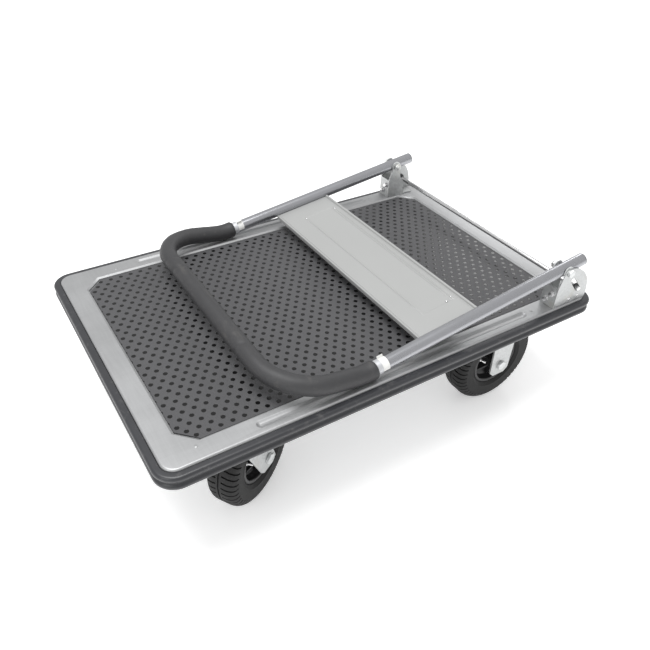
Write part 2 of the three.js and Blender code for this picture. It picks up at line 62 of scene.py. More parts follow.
MM = 0.001
SIDES = (("near", -1), ("far", 1))
WHEELS = ("rigid_near", "rigid_far", "swivel_near", "swivel_far")
JOINTS = {joint["name"]: joint for joint in frame["joints"]}
PIVOT = Vector(JOINTS["handle_fold"]["pos_m"])
X, Y, Z = Vector((1, 0, 0)), Vector((0, 1, 0)), Vector((0, 0, 1))


def length(name, default_mm, words):
    """A size property, given in millimetres and kept in metres."""
    return bpy.props.FloatProperty(
        name=name, description=words, default=default_mm * MM, min=0, precision=4, unit="LENGTH", subtype="DISTANCE"
    )


def colour(name, value, words):
    return bpy.props.FloatVectorProperty(
        name=name, description=words, default=value, size=3, min=0, max=1, subtype="COLOR"
    )


class DeckSizes(bpy.types.PropertyGroup):
    corner: length("Corner radius", 24, "Radius of the tray's corners seen from above")
    fold: length("Fold radius", 4, "Radius where the tray's top turns down into its skirt")
    sheet: length("Sheet", 2, "Thickness of the pressed sheet")
    rim: length("Rim width", 37.4, "Flat rim between the fold and the dish")
    dish: length("Dish depth", 6, "How far the mat's bed lies below the rim")
    dish_wall: length("Dish wall", 4.4, "Width of the slope round the dish")
    dish_corner: length("Dish corner", 32, "How much is cut off the dish's corners")
    bead: length("Bead length", 590, "Length of the bead pressed into each long rim")
    bead_width: length("Bead width", 17, "Width of that bead")
    bead_depth: length("Bead depth", 3, "Depth of that bead")


class HandleSizes(bpy.types.PropertyGroup):
    tube: length("Tube radius", 12.5, "Outside radius of the handle's tube")
    half_width: length("Half width", 270.5, "Middle of the cart to the middle of each tube")
    tail: length("Tail", 49, "Tube past the pivot")
    crank: length("Crank", 470, "Pivot to the point where the grip end turns up")
    crank_radius: length("Crank radius", 90, "Bend radius of the crank")
    grip: length("Grip", 156, "Crank to the middle of the cross bar")
    corner: length("Corner radius", 90, "Bend radius of the two corners")
    sleeve: length("Sleeve start", 445, "Pivot to the ends of the foam")
    sleeve_radius: length("Sleeve radius", 17.2, "Outside radius of the foam")
    slope: bpy.props.FloatProperty(
        name="Slope", description="Rise of the folded handle", default=math.radians(7.8017), subtype="ANGLE"
    )
    crank_turn: bpy.props.FloatProperty(
        name="Crank turn", description="Angle of the crank", default=math.radians(17.3), subtype="ANGLE"
    )


class WheelSizes(bpy.types.PropertyGroup):
    radius: length("Tyre radius", 99.6, "Outside radius of the tread")
    width: length("Tyre width", 61.6, "Width across the tyre's walls")
    lugs: bpy.props.IntProperty(name="Lugs", description="Tread blocks round the tyre", default=48, min=12)
    tread_depth: length("Tread depth", 2.6, "Depth of the grooves in the tread")
    bead: length("Bead radius", 56.5, "Radius where the tyre meets the rim")


class CartColours(bpy.types.PropertyGroup):
    steel: colour("Deck steel", (0.43, 0.435, 0.44), "Pressed sheet of the deck")
    tube: colour("Handle tube", (0.40, 0.405, 0.425), "Drawn tube of the handle")
    panel: colour("Cross panel", (0.40, 0.405, 0.40), "Paint of the panel between the tubes")
    zinc: colour("Zinc", (0.52, 0.53, 0.53), "Plating of brackets and casters")
    mat: colour("Mat", (0.044, 0.044, 0.046), "Vinyl of the mat")
    edge: colour("Edge rubber", (0.026, 0.027, 0.031), "Rubber strip round the deck")
    foam: colour("Foam", (0.028, 0.028, 0.030), "Foam of the grip")
    tyre: colour("Tyre", (0.016, 0.016, 0.016), "Rubber of the tyres")


# ---- finishes ----


class Value:
    """A number on a shader socket. Arithmetic on it adds Math nodes."""

    def __init__(self, finish, socket):
        self.finish, self.socket = finish, socket

    def math(self, operation, other=None, third=None, swapped=False):
        terms = [self, other] if not swapped else [other, self]
        if third is not None:
            terms.append(third)
        inputs = {i: term for i, term in enumerate(terms) if term is not None}
        return self.finish.node("ShaderNodeMath", {"operation": operation}, inputs).value("Value")

    def __add__(self, other):
        return self.math("ADD", other)

    def __sub__(self, other):
        return self.math("SUBTRACT", other)

    def __rsub__(self, other):
        return self.math("SUBTRACT", other, swapped=True)

    def __mul__(self, other):
        return self.math("MULTIPLY", other)

    def __truediv__(self, other):
        return self.math("DIVIDE", other)

    def __pow__(self, other):
        return self.math("POWER", other)

    def __neg__(self):
        return self.math("MULTIPLY", -1)

    def fract(self):
        return self.math("FRACT")

    def sine(self):
        return self.math("SINE")

    def least(self, other):
        return self.math("MINIMUM", other)

    def most(self, other):
        return self.math("MAXIMUM", other)

    def step(self, low, high):
        """0 below low, 1 above high and smooth between."""
        settings = {"interpolation_type": "SMOOTHSTEP", "clamp": True}
        inputs = {"Value": self, "From Min": low, "From Max": high}
        return self.finish.node("ShaderNodeMapRange", settings, inputs).value("Result")

    __radd__ = __add__
    __rmul__ = __mul__


class Made:
    """A node that Finish.node made."""

    def __init__(self, finish, node):
        self.finish, self.node = finish, node

    def value(self, name):
        return Value(self.finish, self.node.outputs[name])


class Finish:
    """A material while it is being made."""

    def __init__(self, name):
        self.material = bpy.data.materials.new("cart_" + name)
        self.material.use_nodes = True
        self.tree = self.material.node_tree
        self.tree.nodes.clear()
        self.place = self.node("ShaderNodeTexCoord").value("Object")

    def node(self, kind, settings=None, inputs=None):
        made = self.tree.nodes.new(kind)
        for key, value in (settings or {}).items():
            if key == "stops":
                while len(made.color_ramp.elements) < len(value):
                    made.color_ramp.elements.new(0.5)
                for element, (position, shade) in zip(made.color_ramp.elements, value):
                    element.position = position
                    element.color = (*shade, 1)
            else:
                setattr(made, key, value)
        for key, value in (inputs or {}).items():
            if isinstance(value, Value):
                self.tree.links.new(value.socket, made.inputs[key])
            else:
                made.inputs[key].default_value = value
        return Made(self, made)

    def axes(self):
        split = self.node("ShaderNodeSeparateXYZ", None, {0: self.place})
        return split.value("X"), split.value("Y"), split.value("Z")

    def at(self, x, y, z):
        return self.node("ShaderNodeCombineXYZ", None, {"X": x, "Y": y, "Z": z}).value("Vector")

    def stretched(self, scale):
        return self.node("ShaderNodeMapping", None, {"Vector": self.place, "Scale": scale}).value("Vector")

    def noise(self, scale, detail=3, roughness=0.5, place=None):
        inputs = {"Vector": place or self.place, "Scale": scale, "Detail": detail, "Roughness": roughness}
        return self.node("ShaderNodeTexNoise", None, inputs).value("Fac")

    def cells(self, scale, feature="F1", output="Distance", place=None):
        inputs = {"Vector": place or self.place, "Scale": scale}
        return self.node("ShaderNodeTexVoronoi", {"feature": feature}, inputs).value(output)

    def mix(self, factor, first, second):
        inputs = {0: factor, 6: shade(first), 7: shade(second)}
        made = self.node("ShaderNodeMix", {"data_type": "RGBA"}, inputs)
        return Value(self, made.node.outputs[2])

    def done(self, base, roughness, height=None, depth=0.0002, strength=1, **constants):
        """Joins the results to one shader; each constant is set on the shader's own socket."""
        inputs = {"Base Color": shade(base), "Roughness": roughness}
        if height is not None:
            bump = {"Height": height, "Distance": depth, "Strength": strength}
            inputs["Normal"] = self.node("ShaderNodeBump", None, bump).value("Normal")
        for name, value in constants.items():
            inputs[name.replace("_", " ")] = value
        shader = self.node("ShaderNodeBsdfPrincipled", None, inputs)
        self.node("ShaderNodeOutputMaterial", None, {"Surface": shader.value("BSDF")})
        return self.material


def shade(value):
    """A colour as a socket takes it."""
    return value if isinstance(value, Value) else (*value, 1)


def scaled(value, factor):
    return tuple(min(1, part * factor) for part in value)


def deck_steel_finish(colours):
    f = Finish("deck_steel")
    brushed = f.noise(1, 4, 0.6, f.stretched((14, 900, 300)))
    rolled = f.noise(1, 3, 0.55, f.stretched((260, 22, 60)))
    cloud = f.noise(7, 3, 0.55)
    scratch = f.noise(1, 2, 0.5, f.stretched((30, 1400, 500))).step(0.68, 0.74)
    tone = brushed * 0.25 + rolled * 0.25 + cloud * 0.5
    base = f.mix(tone.step(0.3, 0.7), scaled(colours.steel, 0.9), scaled(colours.steel, 1.08))
    base = f.mix(scratch * 0.35, base, scaled(colours.steel, 0.62))
    rough = 0.34 + cloud * 0.12 + brushed * 0.1 + scratch * 0.1
    return f.done(base, rough, brushed * 0.6 + scratch * -0.5 + rolled * 0.3, 0.00006, 0.7, Metallic=0.7)


def mat_finish(colours):
    """Embossed vinyl: a pale field of fine stitches round smooth dark dots in a crossed lattice."""
    f = Finish("mat_vinyl")
    x, y, _ = f.axes()
    across, along = x / 0.0206, y / 0.028

    def dimple(shift):
        """Millimetres to the nearest dome's middle."""
        u = ((across + shift).fract() - 0.5) * 20.6
        v = ((along + shift).fract() - 0.5) * 28.0
        return (u * u + v * v) ** 0.5

    wobble = f.noise(420, 2) * 0.7
    distance = dimple(0.0).least(dimple(0.5)) + wobble
    field = distance.step(3.9, 5.0)
    dome = (1 - distance * distance / 22).most(0)
    stitch = ((x * 2400).sine() * (y * 2240).sine()) * 0.5 + 0.5
    thread = f.noise(1100, 2, 0.6)
    worn = f.noise(9, 4, 0.6)
    height = field * (stitch * 0.35 + thread * 0.3) + dome * 0.12
    light = field * (0.2 + stitch * 0.55 + thread * 0.3) + worn * 0.06
    base = f.mix(light.step(0.0, 1.0), scaled(colours.mat, 0.14), scaled(colours.mat, 2.6))
    rough = 0.15 + field * 0.4 + worn * 0.05
    return f.done(base, rough, height, 0.0010, 0.9, Specular_IOR_Level=0.36)


def edge_finish(colours):
    f = Finish("edge_rubber")
    drawn = f.noise(1, 3, 0.5, f.stretched((6, 6, 900)))
    cloud = f.noise(18, 4, 0.6)
    dust = f.noise(60, 5, 0.7).step(0.55, 0.75)
    base = f.mix(cloud, scaled(colours.edge, 0.8), scaled(colours.edge, 1.25))
    base = f.mix(dust * 0.12, base, (0.35, 0.34, 0.32))
    return f.done(base, 0.28 + cloud * 0.14 + dust * 0.1, drawn + cloud * 0.4, 0.00015, 0.5, Specular_IOR_Level=0.6)


def tube_finish(colours):
    """Drawn tube with fine lines along it and a few rub marks."""
    f = Finish("handle_tube_satin")
    drawn = f.noise(1, 3, 0.6, f.stretched((8, 700, 700)))
    cloud = f.noise(11, 3, 0.5)
    rub = f.noise(34, 4, 0.65).step(0.62, 0.72)
    base = f.mix(drawn * 0.6 + cloud * 0.4, scaled(colours.tube, 0.86), scaled(colours.tube, 1.1))
    base = f.mix(rub * 0.22, base, scaled(colours.tube, 0.6))
    return f.done(base, 0.22 + cloud * 0.1 + rub * 0.12, drawn + rub * -0.4, 0.00004, 0.6, Metallic=0.88)


def panel_finish(colours):
    f = Finish("panel_paint")
    peel = f.noise(900, 2, 0.5)
    cloud = f.noise(6, 3, 0.5)
    speck = f.noise(210, 3, 0.7).step(0.70, 0.76)
    base = f.mix(cloud, scaled(colours.panel, 0.95), scaled(colours.panel, 1.05))
    base = f.mix(speck * 0.25, base, scaled(colours.panel, 0.7))
    return f.done(base, 0.42 + cloud * 0.08 + speck * 0.1, peel, 0.00005, 0.5, Metallic=0.2)


def zinc_finish(colours, name, lift=1.0):
    """Zinc plating with its crystal patches and a cloudy bloom."""
    f = Finish(name)
    crystal = f.cells(260, output="Color")
    crystal = f.node("ShaderNodeSeparateColor", None, {0: crystal}).value("Red")
    bloom = f.noise(45, 5, 0.65)
    stain = f.noise(26, 4, 0.7).step(0.56, 0.7)
    base = f.mix(crystal * 0.5 + bloom * 0.5, scaled(colours.zinc, 0.8 * lift), scaled(colours.zinc, 1.15 * lift))
    base = f.mix(stain * 0.25, base, (0.52, 0.50, 0.42))
    rough = 0.3 + crystal * 0.14 + bloom * 0.14 + stain * 0.08
    return f.done(base, rough, crystal * 0.4 + bloom * 0.6, 0.00008, 0.5, Metallic=0.72)


def bright_finish():
    f = Finish("bright_steel")
    ring = f.noise(1, 2, 0.5, f.stretched((900, 30, 900)))
    cloud = f.noise(50, 4, 0.6)
    base = f.mix(cloud, (0.62, 0.62, 0.63), (0.82, 0.82, 0.82))
    return f.done(base, 0.16 + cloud * 0.14 + ring * 0.06, ring, 0.00003, 0.5, Metallic=1)


def foam_finish(colours):
    f = Finish("grip_foam")
    pores = f.cells(1500)
    skin = f.noise(160, 4, 0.6)
    cloud = f.noise(14, 4, 0.6)
    scuff = f.noise(1, 4, 0.65, f.stretched((40, 14, 40))).step(0.56, 0.72)
    base = f.mix(cloud * 0.6 + skin * 0.4, scaled(colours.foam, 0.7), scaled(colours.foam, 1.5))
    base = f.mix(scuff * 0.2, base, (0.17, 0.16, 0.145))
    height = pores * 0.35 + skin * 0.65
    return f.done(base, 0.5 + skin * 0.1 + scuff * 0.12, height, 0.0003, 0.6, Specular_IOR_Level=0.65)


def tyre_finish(colours):
    f = Finish("tyre_rubber")
    grain = f.noise(500, 3, 0.6)
    cloud = f.noise(20, 4, 0.6)
    dust = f.noise(75, 5, 0.7).step(0.5, 0.74)
    base = f.mix(cloud, scaled(colours.tyre, 0.45), scaled(colours.tyre, 1.0))
    base = f.mix(dust * 0.06, base, (0.09, 0.085, 0.078))
    return f.done(base, 0.5 + grain * 0.12 + dust * 0.1, grain, 0.0002, 0.6, Specular_IOR_Level=0.3)


def moulded_finish(name, tone, rough=0.38):
    """Black moulded plastic or enamel."""
    f = Finish(name)
    grain = f.noise(700, 2, 0.5)
    cloud = f.noise(30, 3, 0.6)
    base = f.mix(cloud, scaled(tone, 0.7), scaled(tone, 1.5))
    return f.done(base, rough + cloud * 0.12, grain, 0.0001, 0.4, Specular_IOR_Level=0.5)


def tape_finish(name, tone, metallic=0.0):
    f = Finish(name)
    weave = f.noise(900, 2, 0.5)
    crease = f.noise(120, 4, 0.6)
    base = f.mix(crease, scaled(tone, 0.86), scaled(tone, 1.06))
    return f.done(base, 0.4 + crease * 0.2, weave * 0.3 + crease * 0.7, 0.0002, 0.6, Metallic=metallic)


def floor_finish():
    f = Finish("studio_floor")
    cloud = f.noise(3, 2, 0.5)
    base = f.mix(cloud, (0.96, 0.96, 0.96), (0.975, 0.975, 0.975))
    return f.done(base, 0.7 + cloud * 0.05, Emission_Color=(1, 1, 1, 1), Emission_Strength=0.35)


def finish_named(name, make, *args):
    """The material of that name, made once."""
    return bpy.data.materials.get("cart_" + name) or make(*args)


def fastener_material(colours):
    """Zinc for bolts, nuts and washers, lighter than the pressings."""
    return finish_named("fastener_zinc", zinc_finish, colours, "fastener_zinc", 1.35)


def caster_material(colours):
    return finish_named("caster_zinc", zinc_finish, colours, "caster_zinc", 1.08)


# ---- shapes ----


def settle(mesh_in_hand, sharp=math.radians(32)):
    """Closes doubles, turns faces outwards and marks the edges that stay sharp."""
    bmesh.ops.remove_doubles(mesh_in_hand, verts=mesh_in_hand.verts, dist=2e-6)
    bmesh.ops.recalc_face_normals(mesh_in_hand, faces=mesh_in_hand.faces)
    for face in mesh_in_hand.faces:
        face.smooth = True
    for edge in mesh_in_hand.edges:
        edge.smooth = not edge.is_manifold or edge.calc_face_angle(0) < sharp


def piece(shape, name, material, body, replaced=()):
    """Makes the object for a finished shape and fixes it to its body."""
    mesh = bpy.data.meshes.new(name)
    shape.to_mesh(mesh)
    shape.free()
    made = bpy.data.objects.new(name, mesh)
    bpy.context.scene.collection.objects.link(made)
    mesh.materials.append(material)
    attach(made, body)
    if replaced:
        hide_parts(*replaced)
    return made


def flatten(made):
    """Keeps the shading of large flat faces flat beside small rounded ones."""
    weighted = made.modifiers.new("flat_faces", "WEIGHTED_NORMAL")
    weighted.mode, weighted.weight, weighted.keep_sharp = "FACE_AREA", 60, True
    return made


def soften(made, width, segments=2, angle=32):
    bevel = made.modifiers.new("edge_softening", "BEVEL")
    bevel.width, bevel.segments, bevel.limit_method = width, segments, "ANGLE"
    bevel.angle_limit = math.radians(angle)
    bevel.use_clamp_overlap = True
    bevel.harden_normals = True
    return made


def thicken(made, thickness):
    wall = made.modifiers.new("sheet", "SOLIDIFY")
    wall.thickness, wall.offset, wall.use_even_offset = thickness, -1, False
    return made


def slab(shape, corners, rise, rounding=0, steps=6):
    """A plate: a flat face carried along rise."""
    lone = bmesh.new()
    for corner in corners:
        lone.verts.new(corner)
    lone.faces.new(lone.verts)
    sizes = rounding if isinstance(rounding, (list, tuple)) else [rounding] * len(corners)
    lone.verts.ensure_lookup_table()
    for vertex, size in zip(list(lone.verts), sizes):
        if size:
            bmesh.ops.bevel(
                lone, geom=[vertex], offset=size, offset_type="OFFSET", affect="VERTICES",
                segments=steps, profile=0.5, material=-1,
            )
    top = bmesh.ops.extrude_face_region(lone, geom=lone.faces[:])
    bmesh.ops.translate(lone, verts=[g for g in top["geom"] if isinstance(g, bmesh.types.BMVert)], vec=rise)
    bmesh.ops.recalc_face_normals(lone, faces=lone.faces)
    join(shape, lone)


def join(shape, other):
    """Adds all of another shape and frees it."""
    mesh = bpy.data.meshes.new("joining")
    other.to_mesh(mesh)
    other.free()
    shape.from_mesh(mesh)
    bpy.data.meshes.remove(mesh)


def rectangle(x0, x1, y0, y1, z):
    return [(x0, y0, z), (x1, y0, z), (x1, y1, z), (x0, y1, z)]


def rod(shape, start, end, radius, sides=32, chamfer=0.0, steps=2):
    """A closed round bar between two points, with its end edges rounded."""
    lone = bmesh.new()
    span = Vector(end) - Vector(start)
    turn = span.to_track_quat("Z", "Y").to_matrix().to_4x4()
    place = Matrix.Translation((Vector(start) + Vector(end)) / 2) @ turn
    bmesh.ops.create_cone(
        lone, cap_ends=True, segments=sides, radius1=radius, radius2=radius, depth=span.length, matrix=place
    )
    if chamfer:
        ends = [e for e in lone.edges if any(len(f.verts) > 4 for f in e.link_faces)]
        bmesh.ops.bevel(
            lone, geom=ends, offset=chamfer, affect="EDGES", segments=steps, profile=0.5, material=-1
        )
    join(shape, lone)


def hexagon(shape, start, end, across, chamfer=0.0009):
    """A hexagonal head or nut with its outer corners turned off, and a washer face under it."""
    start, end = Vector(start), Vector(end)
    way = (end - start).normalized()
    rod(shape, start + way * 0.0008, end, across / math.sqrt(3), 6, chamfer, 2)
    rod(shape, start, start + way * 0.0009, across * 0.49, 24, 0.0002, 1)


def bolt(shape, seat, way, across, height, washer=0.0, stub=0.0):
    """A hexagon on a seat, with a washer under it and the end of its thread above it if asked for."""
    seat, way = Vector(seat), Vector(way).normalized()
    low = seat
    if washer:
        rod(shape, seat, seat + way * 0.0014, washer, 32, 0.0003, 1)
        low = seat + way * 0.0014
    hexagon(shape, low, low + way * height, across)
    if stub:
        rod(shape, low, low + way * (height + stub), across * 0.3, 20, 0.0006, 2)


def ring_of(shape, profile, centre, axis, steps):
    """Turns a closed profile of (radius, distance along the axis) points round an axis."""
    lone = bmesh.new()
    axis = Vector(axis).normalized()
    out = axis.orthogonal().normalized()
    points = [lone.verts.new(out * r + axis * a) for r, a in profile]
    edges = [lone.edges.new((a, b)) for a, b in zip(points, points[1:] + points[:1])]
    bmesh.ops.spin(
        lone, geom=points + edges, cent=(0, 0, 0), axis=axis, dvec=(0, 0, 0),
        angle=2 * math.pi, steps=steps, use_merge=True,
    )
    bmesh.ops.remove_doubles(lone, verts=lone.verts, dist=2e-6)
    bmesh.ops.recalc_face_normals(lone, faces=lone.faces)
    bmesh.ops.translate(lone, verts=lone.verts, vec=Vector(centre))
    join(shape, lone)


def arc(cx, cy, rx, ry, start, end, steps):
    """Points on an ellipse's arc, angles in degrees."""
    points = []
    for i in range(steps + 1):
        a = math.radians(start + (end - start) * i / steps)
        points.append((cx + rx * math.cos(a), cy + ry * math.sin(a)))
    return points


# ---- the deck ----


def build_tray(sizes, colours):
    low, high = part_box("deck_tray")
    shape = bmesh.new()
    corners = rectangle(low.x, high.x, low.y, high.y, low.z)
    shape.faces.new([shape.verts.new(c) for c in corners])
    bmesh.ops.bevel(
        shape, geom=shape.verts[:], offset=sizes.corner, offset_type="OFFSET", affect="VERTICES",
        segments=9, profile=0.5, material=-1,
    )
    raised = bmesh.ops.extrude_face_region(shape, geom=shape.faces[:])
    rise = (high.z - low.z) - sizes.fold
    lifted = [g for g in raised["geom"] if isinstance(g, bmesh.types.BMVert)]
    bmesh.ops.translate(shape, verts=lifted, vec=(0, 0, rise))
    under = [f for f in shape.faces if all(abs(v.co.z - low.z) < 1e-6 for v in f.verts)]
    bmesh.ops.delete(shape, geom=under, context="FACES")
    bmesh.ops.recalc_face_normals(shape, faces=shape.faces)
    top = max(shape.faces, key=lambda f: f.calc_center_median().z)
    if top.normal.z < 0:
        bmesh.ops.reverse_faces(shape, faces=shape.faces)
    steps = 5
    for i in range(steps):
        a, b = (math.pi / 2 * k / steps for k in (i, i + 1))
        inward = sizes.fold * (math.cos(a) - math.cos(b))
        upward = sizes.fold * (math.sin(b) - math.sin(a))
        bmesh.ops.inset_region(shape, faces=[top], thickness=inward, depth=0, use_even_offset=True)
        bmesh.ops.translate(shape, verts=top.verts, vec=(0, 0, upward))
    bmesh.ops.delete(shape, geom=[top], context="FACES_ONLY")

    def sunk(x0, x1, y0, y1, cut, segments, steps_down):
        """A pressed hollow: its outline at the rim's level and one more for each (inward, downward) step, bridged."""
        lone = bmesh.new()
        shrink = 1 if segments > 1 else 2 - math.sqrt(2)
        inward = downward = 0
        loops = []
        for step in [(0, 0)] + steps_down:
            inward, downward = inward + step[0], downward + step[1]
            corners = rectangle(x0 + inward, x1 - inward, y0 + inward, y1 - inward, high.z - downward)
            floor = lone.faces.new([lone.verts.new(c) for c in corners])
            bmesh.ops.bevel(
                lone, geom=floor.verts[:], offset=cut - shrink * inward, offset_type="OFFSET", affect="VERTICES",
                segments=segments, profile=0.5, material=-1,
            )
            level = [
                f for f in lone.faces
                if abs(f.calc_center_median().z - high.z + downward) < 1e-6 and len(f.verts) > 4
            ]
            floor = max(level, key=lambda f: f.calc_area())
            loops.append(list(floor.edges))
            if step is not steps_down[-1]:
                bmesh.ops.delete(lone, geom=[floor], context="FACES_ONLY")
        for pair in zip(loops, loops[1:]):
            bmesh.ops.bridge_loops(lone, edges=pair[0] + pair[1])
        join(shape, lone)

    rim = sizes.rim
    wall = sizes.dish_wall
    lip = 0.0006
    slope = sizes.dish * 0.4
    dish_steps = [(lip, lip * 0.5), (wall - 2 * lip, slope), (lip, sizes.dish - slope - lip * 0.5)]
    sunk(low.x + rim, high.x - rim, low.y + rim, high.y - rim, sizes.dish_corner, 1, dish_steps)
    half = sizes.bead_width / 2
    depth = sizes.bead_depth
    bead_steps = [(0.0012, depth * 0.15), (0.0022, depth * 0.5), (0.0022, depth * 0.3), (0.0015, depth * 0.05)]
    handle = bpy.context.scene.cart_handle
    for _, s in SIDES:
        y = s * handle.half_width
        sunk(-sizes.bead / 2, sizes.bead / 2, y - half, y + half, half * 0.99, 6, bead_steps)
    shape.edges.ensure_lookup_table()
    border = [e for e in shape.edges if e.is_boundary and all(abs(v.co.z - high.z) < 1e-6 for v in e.verts)]
    bmesh.ops.triangle_fill(shape, use_beauty=True, use_dissolve=False, edges=border)
    settle(shape)
    lift = sum(f.normal.z * f.calc_area() for f in shape.faces)
    if lift < 0:
        bmesh.ops.reverse_faces(shape, faces=shape.faces)
    material = finish_named("deck_steel", deck_steel_finish, colours)
    made = piece(shape, "pressed_deck", material, "deck", ["deck_tray"])
    thicken(made, sizes.sheet)
    flatten(made)


def build_rim_marks(colours):
    """The small pressed marks on the long rims."""
    shape = bmesh.new()
    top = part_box("deck_tray")[1].z
    for x, y in ((0.309, -0.2705), (0.309, 0.2745), (-0.3405, 0.266), (0.06, 0.2545), (-0.392, -0.262)):
        lone = bmesh.new()
        bmesh.ops.create_uvsphere(lone, u_segments=20, v_segments=10, radius=0.0032)
        bmesh.ops.scale(lone, vec=(1, 1, 0.3), verts=lone.verts)
        bmesh.ops.translate(lone, vec=(x, y, top), verts=lone.verts)
        join(shape, lone)
    settle(shape)
    piece(shape, "rim_marks", finish_named("deck_steel", deck_steel_finish, colours), "deck", ())


def build_mat(colours):
    low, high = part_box("anti_slip_mat")
    sizes = bpy.context.scene.cart_deck
    shape = bmesh.new()
    slab(shape, rectangle(low.x, high.x, low.y, high.y, low.z), Z * (high.z - low.z), sizes.dish_corner, 1)
    settle(shape)
    material = finish_named("mat_vinyl", mat_finish, colours)
    made = piece(shape, "vinyl_mat", material, "deck", ["anti_slip_mat"])
    soften(made, 0.0007, 3, 30)
    return made


def build_edge(colours):
    """The rubber strip: its section is carried round the deck's straight sides and spun round its corners."""
    low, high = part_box("edge_bumper")
    tray_low, tray_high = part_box("deck_tray")
    corner = bpy.context.scene.cart_deck.corner
    out = high.x - tray_high.x
    gap = 0.0003
    roll = out - 0.0085
    section = [(gap, -0.0012), (0.0012, 0)]
    section += arc(0.0085, -0.0056, roll, 0.0056, 90, -52, 9)
    section += [(out - 0.0041, -0.0119), (out - 0.0044, -0.0135), (out - 0.0041, -0.0151)]
    section += arc(0.0085, -0.0214, roll, 0.0056, 52, -90, 9)
    section += [(0.0012, low.z - high.z), (gap, low.z - high.z + 0.0012)]
    shape = bmesh.new()
    y = tray_low.y
    ring = [shape.verts.new((0, y - o, high.z + h)) for o, h in section]
    edges = [shape.edges.new((a, b)) for a, b in zip(ring, ring[1:] + ring[:1])]
    geometry = ring + edges
    reach = {"x": tray_high.x - corner, "y": tray_high.y - corner}
    runs = [
        (Vector((reach["x"], 0, 0)), Vector((reach["x"], -reach["y"], 0))),
        (Vector((0, 2 * reach["y"], 0)), Vector((reach["x"], reach["y"], 0))),
        (Vector((-2 * reach["x"], 0, 0)), Vector((-reach["x"], reach["y"], 0))),
        (Vector((0, -2 * reach["y"], 0)), Vector((-reach["x"], -reach["y"], 0))),
    ]
    for run, centre in runs:
        geometry = carried(shape, geometry, run, 12)
        geometry = bmesh.ops.spin(
            shape, geom=geometry, cent=centre, axis=Z, dvec=(0, 0, 0), angle=math.pi / 2, steps=12
        )["geom_last"]
    carried(shape, geometry, Vector((reach["x"], 0, 0)), 6)
    settle(shape, math.radians(50))
    material = finish_named("edge_rubber", edge_finish, colours)
    return piece(shape, "edge_strip", material, "deck", ["edge_bumper"])


def carried(shape, geometry, run, steps):
    """Extrudes a section along a straight run."""
    return bmesh.ops.spin(
        shape, geom=geometry, cent=(0, 0, 0), axis=Z, dvec=run / steps, angle=0, steps=steps
    )["geom_last"]


# ---- the handle ----


def to_cart(shape, slope):
    """Turns a shape drawn about the pivot, with -X along the tubes, into the folded handle's place."""
    turn = Matrix.Translation(PIVOT) @ Matrix.Rotation(-slope, 4, "Y")
    bmesh.ops.transform(shape, matrix=turn, verts=shape.verts)


def half_loop(sizes, radius, start, sides, step):
    """Half of a round bar on the handle's line, from a distance along the tube to the middle of the cross bar."""
    shape = bmesh.new()
    place = Matrix.Translation((-start, sizes.half_width, 0)) @ Matrix.Rotation(math.pi / 2, 4, "Y")
    made = bmesh.ops.create_circle(shape, cap_ends=False, segments=sides, radius=radius, matrix=place)
    geometry = made["verts"] + list({e for v in made["verts"] for e in v.link_edges})
    tangent = sizes.crank_radius * math.tan(sizes.crank_turn / 2)
    run = sizes.crank - tangent - start
    geometry = carried(shape, geometry, Vector((-run, 0, 0)), max(1, round(run / step)))
    bend = Vector((-(sizes.crank - tangent), sizes.half_width, sizes.crank_radius))
    steps = max(4, round(sizes.crank_radius * sizes.crank_turn / step))
    geometry = bmesh.ops.spin(
        shape, geom=geometry, cent=bend, axis=Y, dvec=(0, 0, 0), angle=sizes.crank_turn, steps=steps
    )["geom_last"]
    way = Vector((-math.cos(sizes.crank_turn), 0, math.sin(sizes.crank_turn)))
    run = sizes.grip - sizes.corner - tangent
    geometry = carried(shape, geometry, way * run, max(1, round(run / step)))
    corner_at = Vector((-sizes.crank, sizes.half_width - sizes.corner, 0)) + way * (sizes.grip - sizes.corner)
    normal = way.cross(-Y)
    steps = max(8, round(sizes.corner * math.pi / 2 / step))
    geometry = bmesh.ops.spin(
        shape, geom=geometry, cent=corner_at, axis=normal, dvec=(0, 0, 0), angle=math.pi / 2, steps=steps
    )["geom_last"]
    run = sizes.half_width - sizes.corner
    carried(shape, geometry, Vector((0, -run, 0)), max(1, round(run / step)))
    return shape


def mirrored(shape):
    bmesh.ops.mirror(shape, geom=shape.verts[:] + shape.edges[:] + shape.faces[:], axis="Y", merge_dist=1e-5)
    bmesh.ops.remove_doubles(shape, verts=shape.verts, dist=2e-6)
    return shape


def walled(shape, thickness):
    """Gives an open tube its wall."""
    bmesh.ops.recalc_face_normals(shape, faces=shape.faces)
    bmesh.ops.solidify(shape, geom=shape.faces[:], thickness=thickness)


def build_tube(sizes, colours):
    shape = mirrored(half_loop(sizes, sizes.tube, -sizes.tail, 40, 0.012))
    walled(shape, 0.0016)
    to_cart(shape, sizes.slope)
    settle(shape, math.radians(40))
    material = finish_named("handle_tube_satin", tube_finish, colours)
    return piece(shape, "handle_bow", material, "handle", ["handle_tube"])


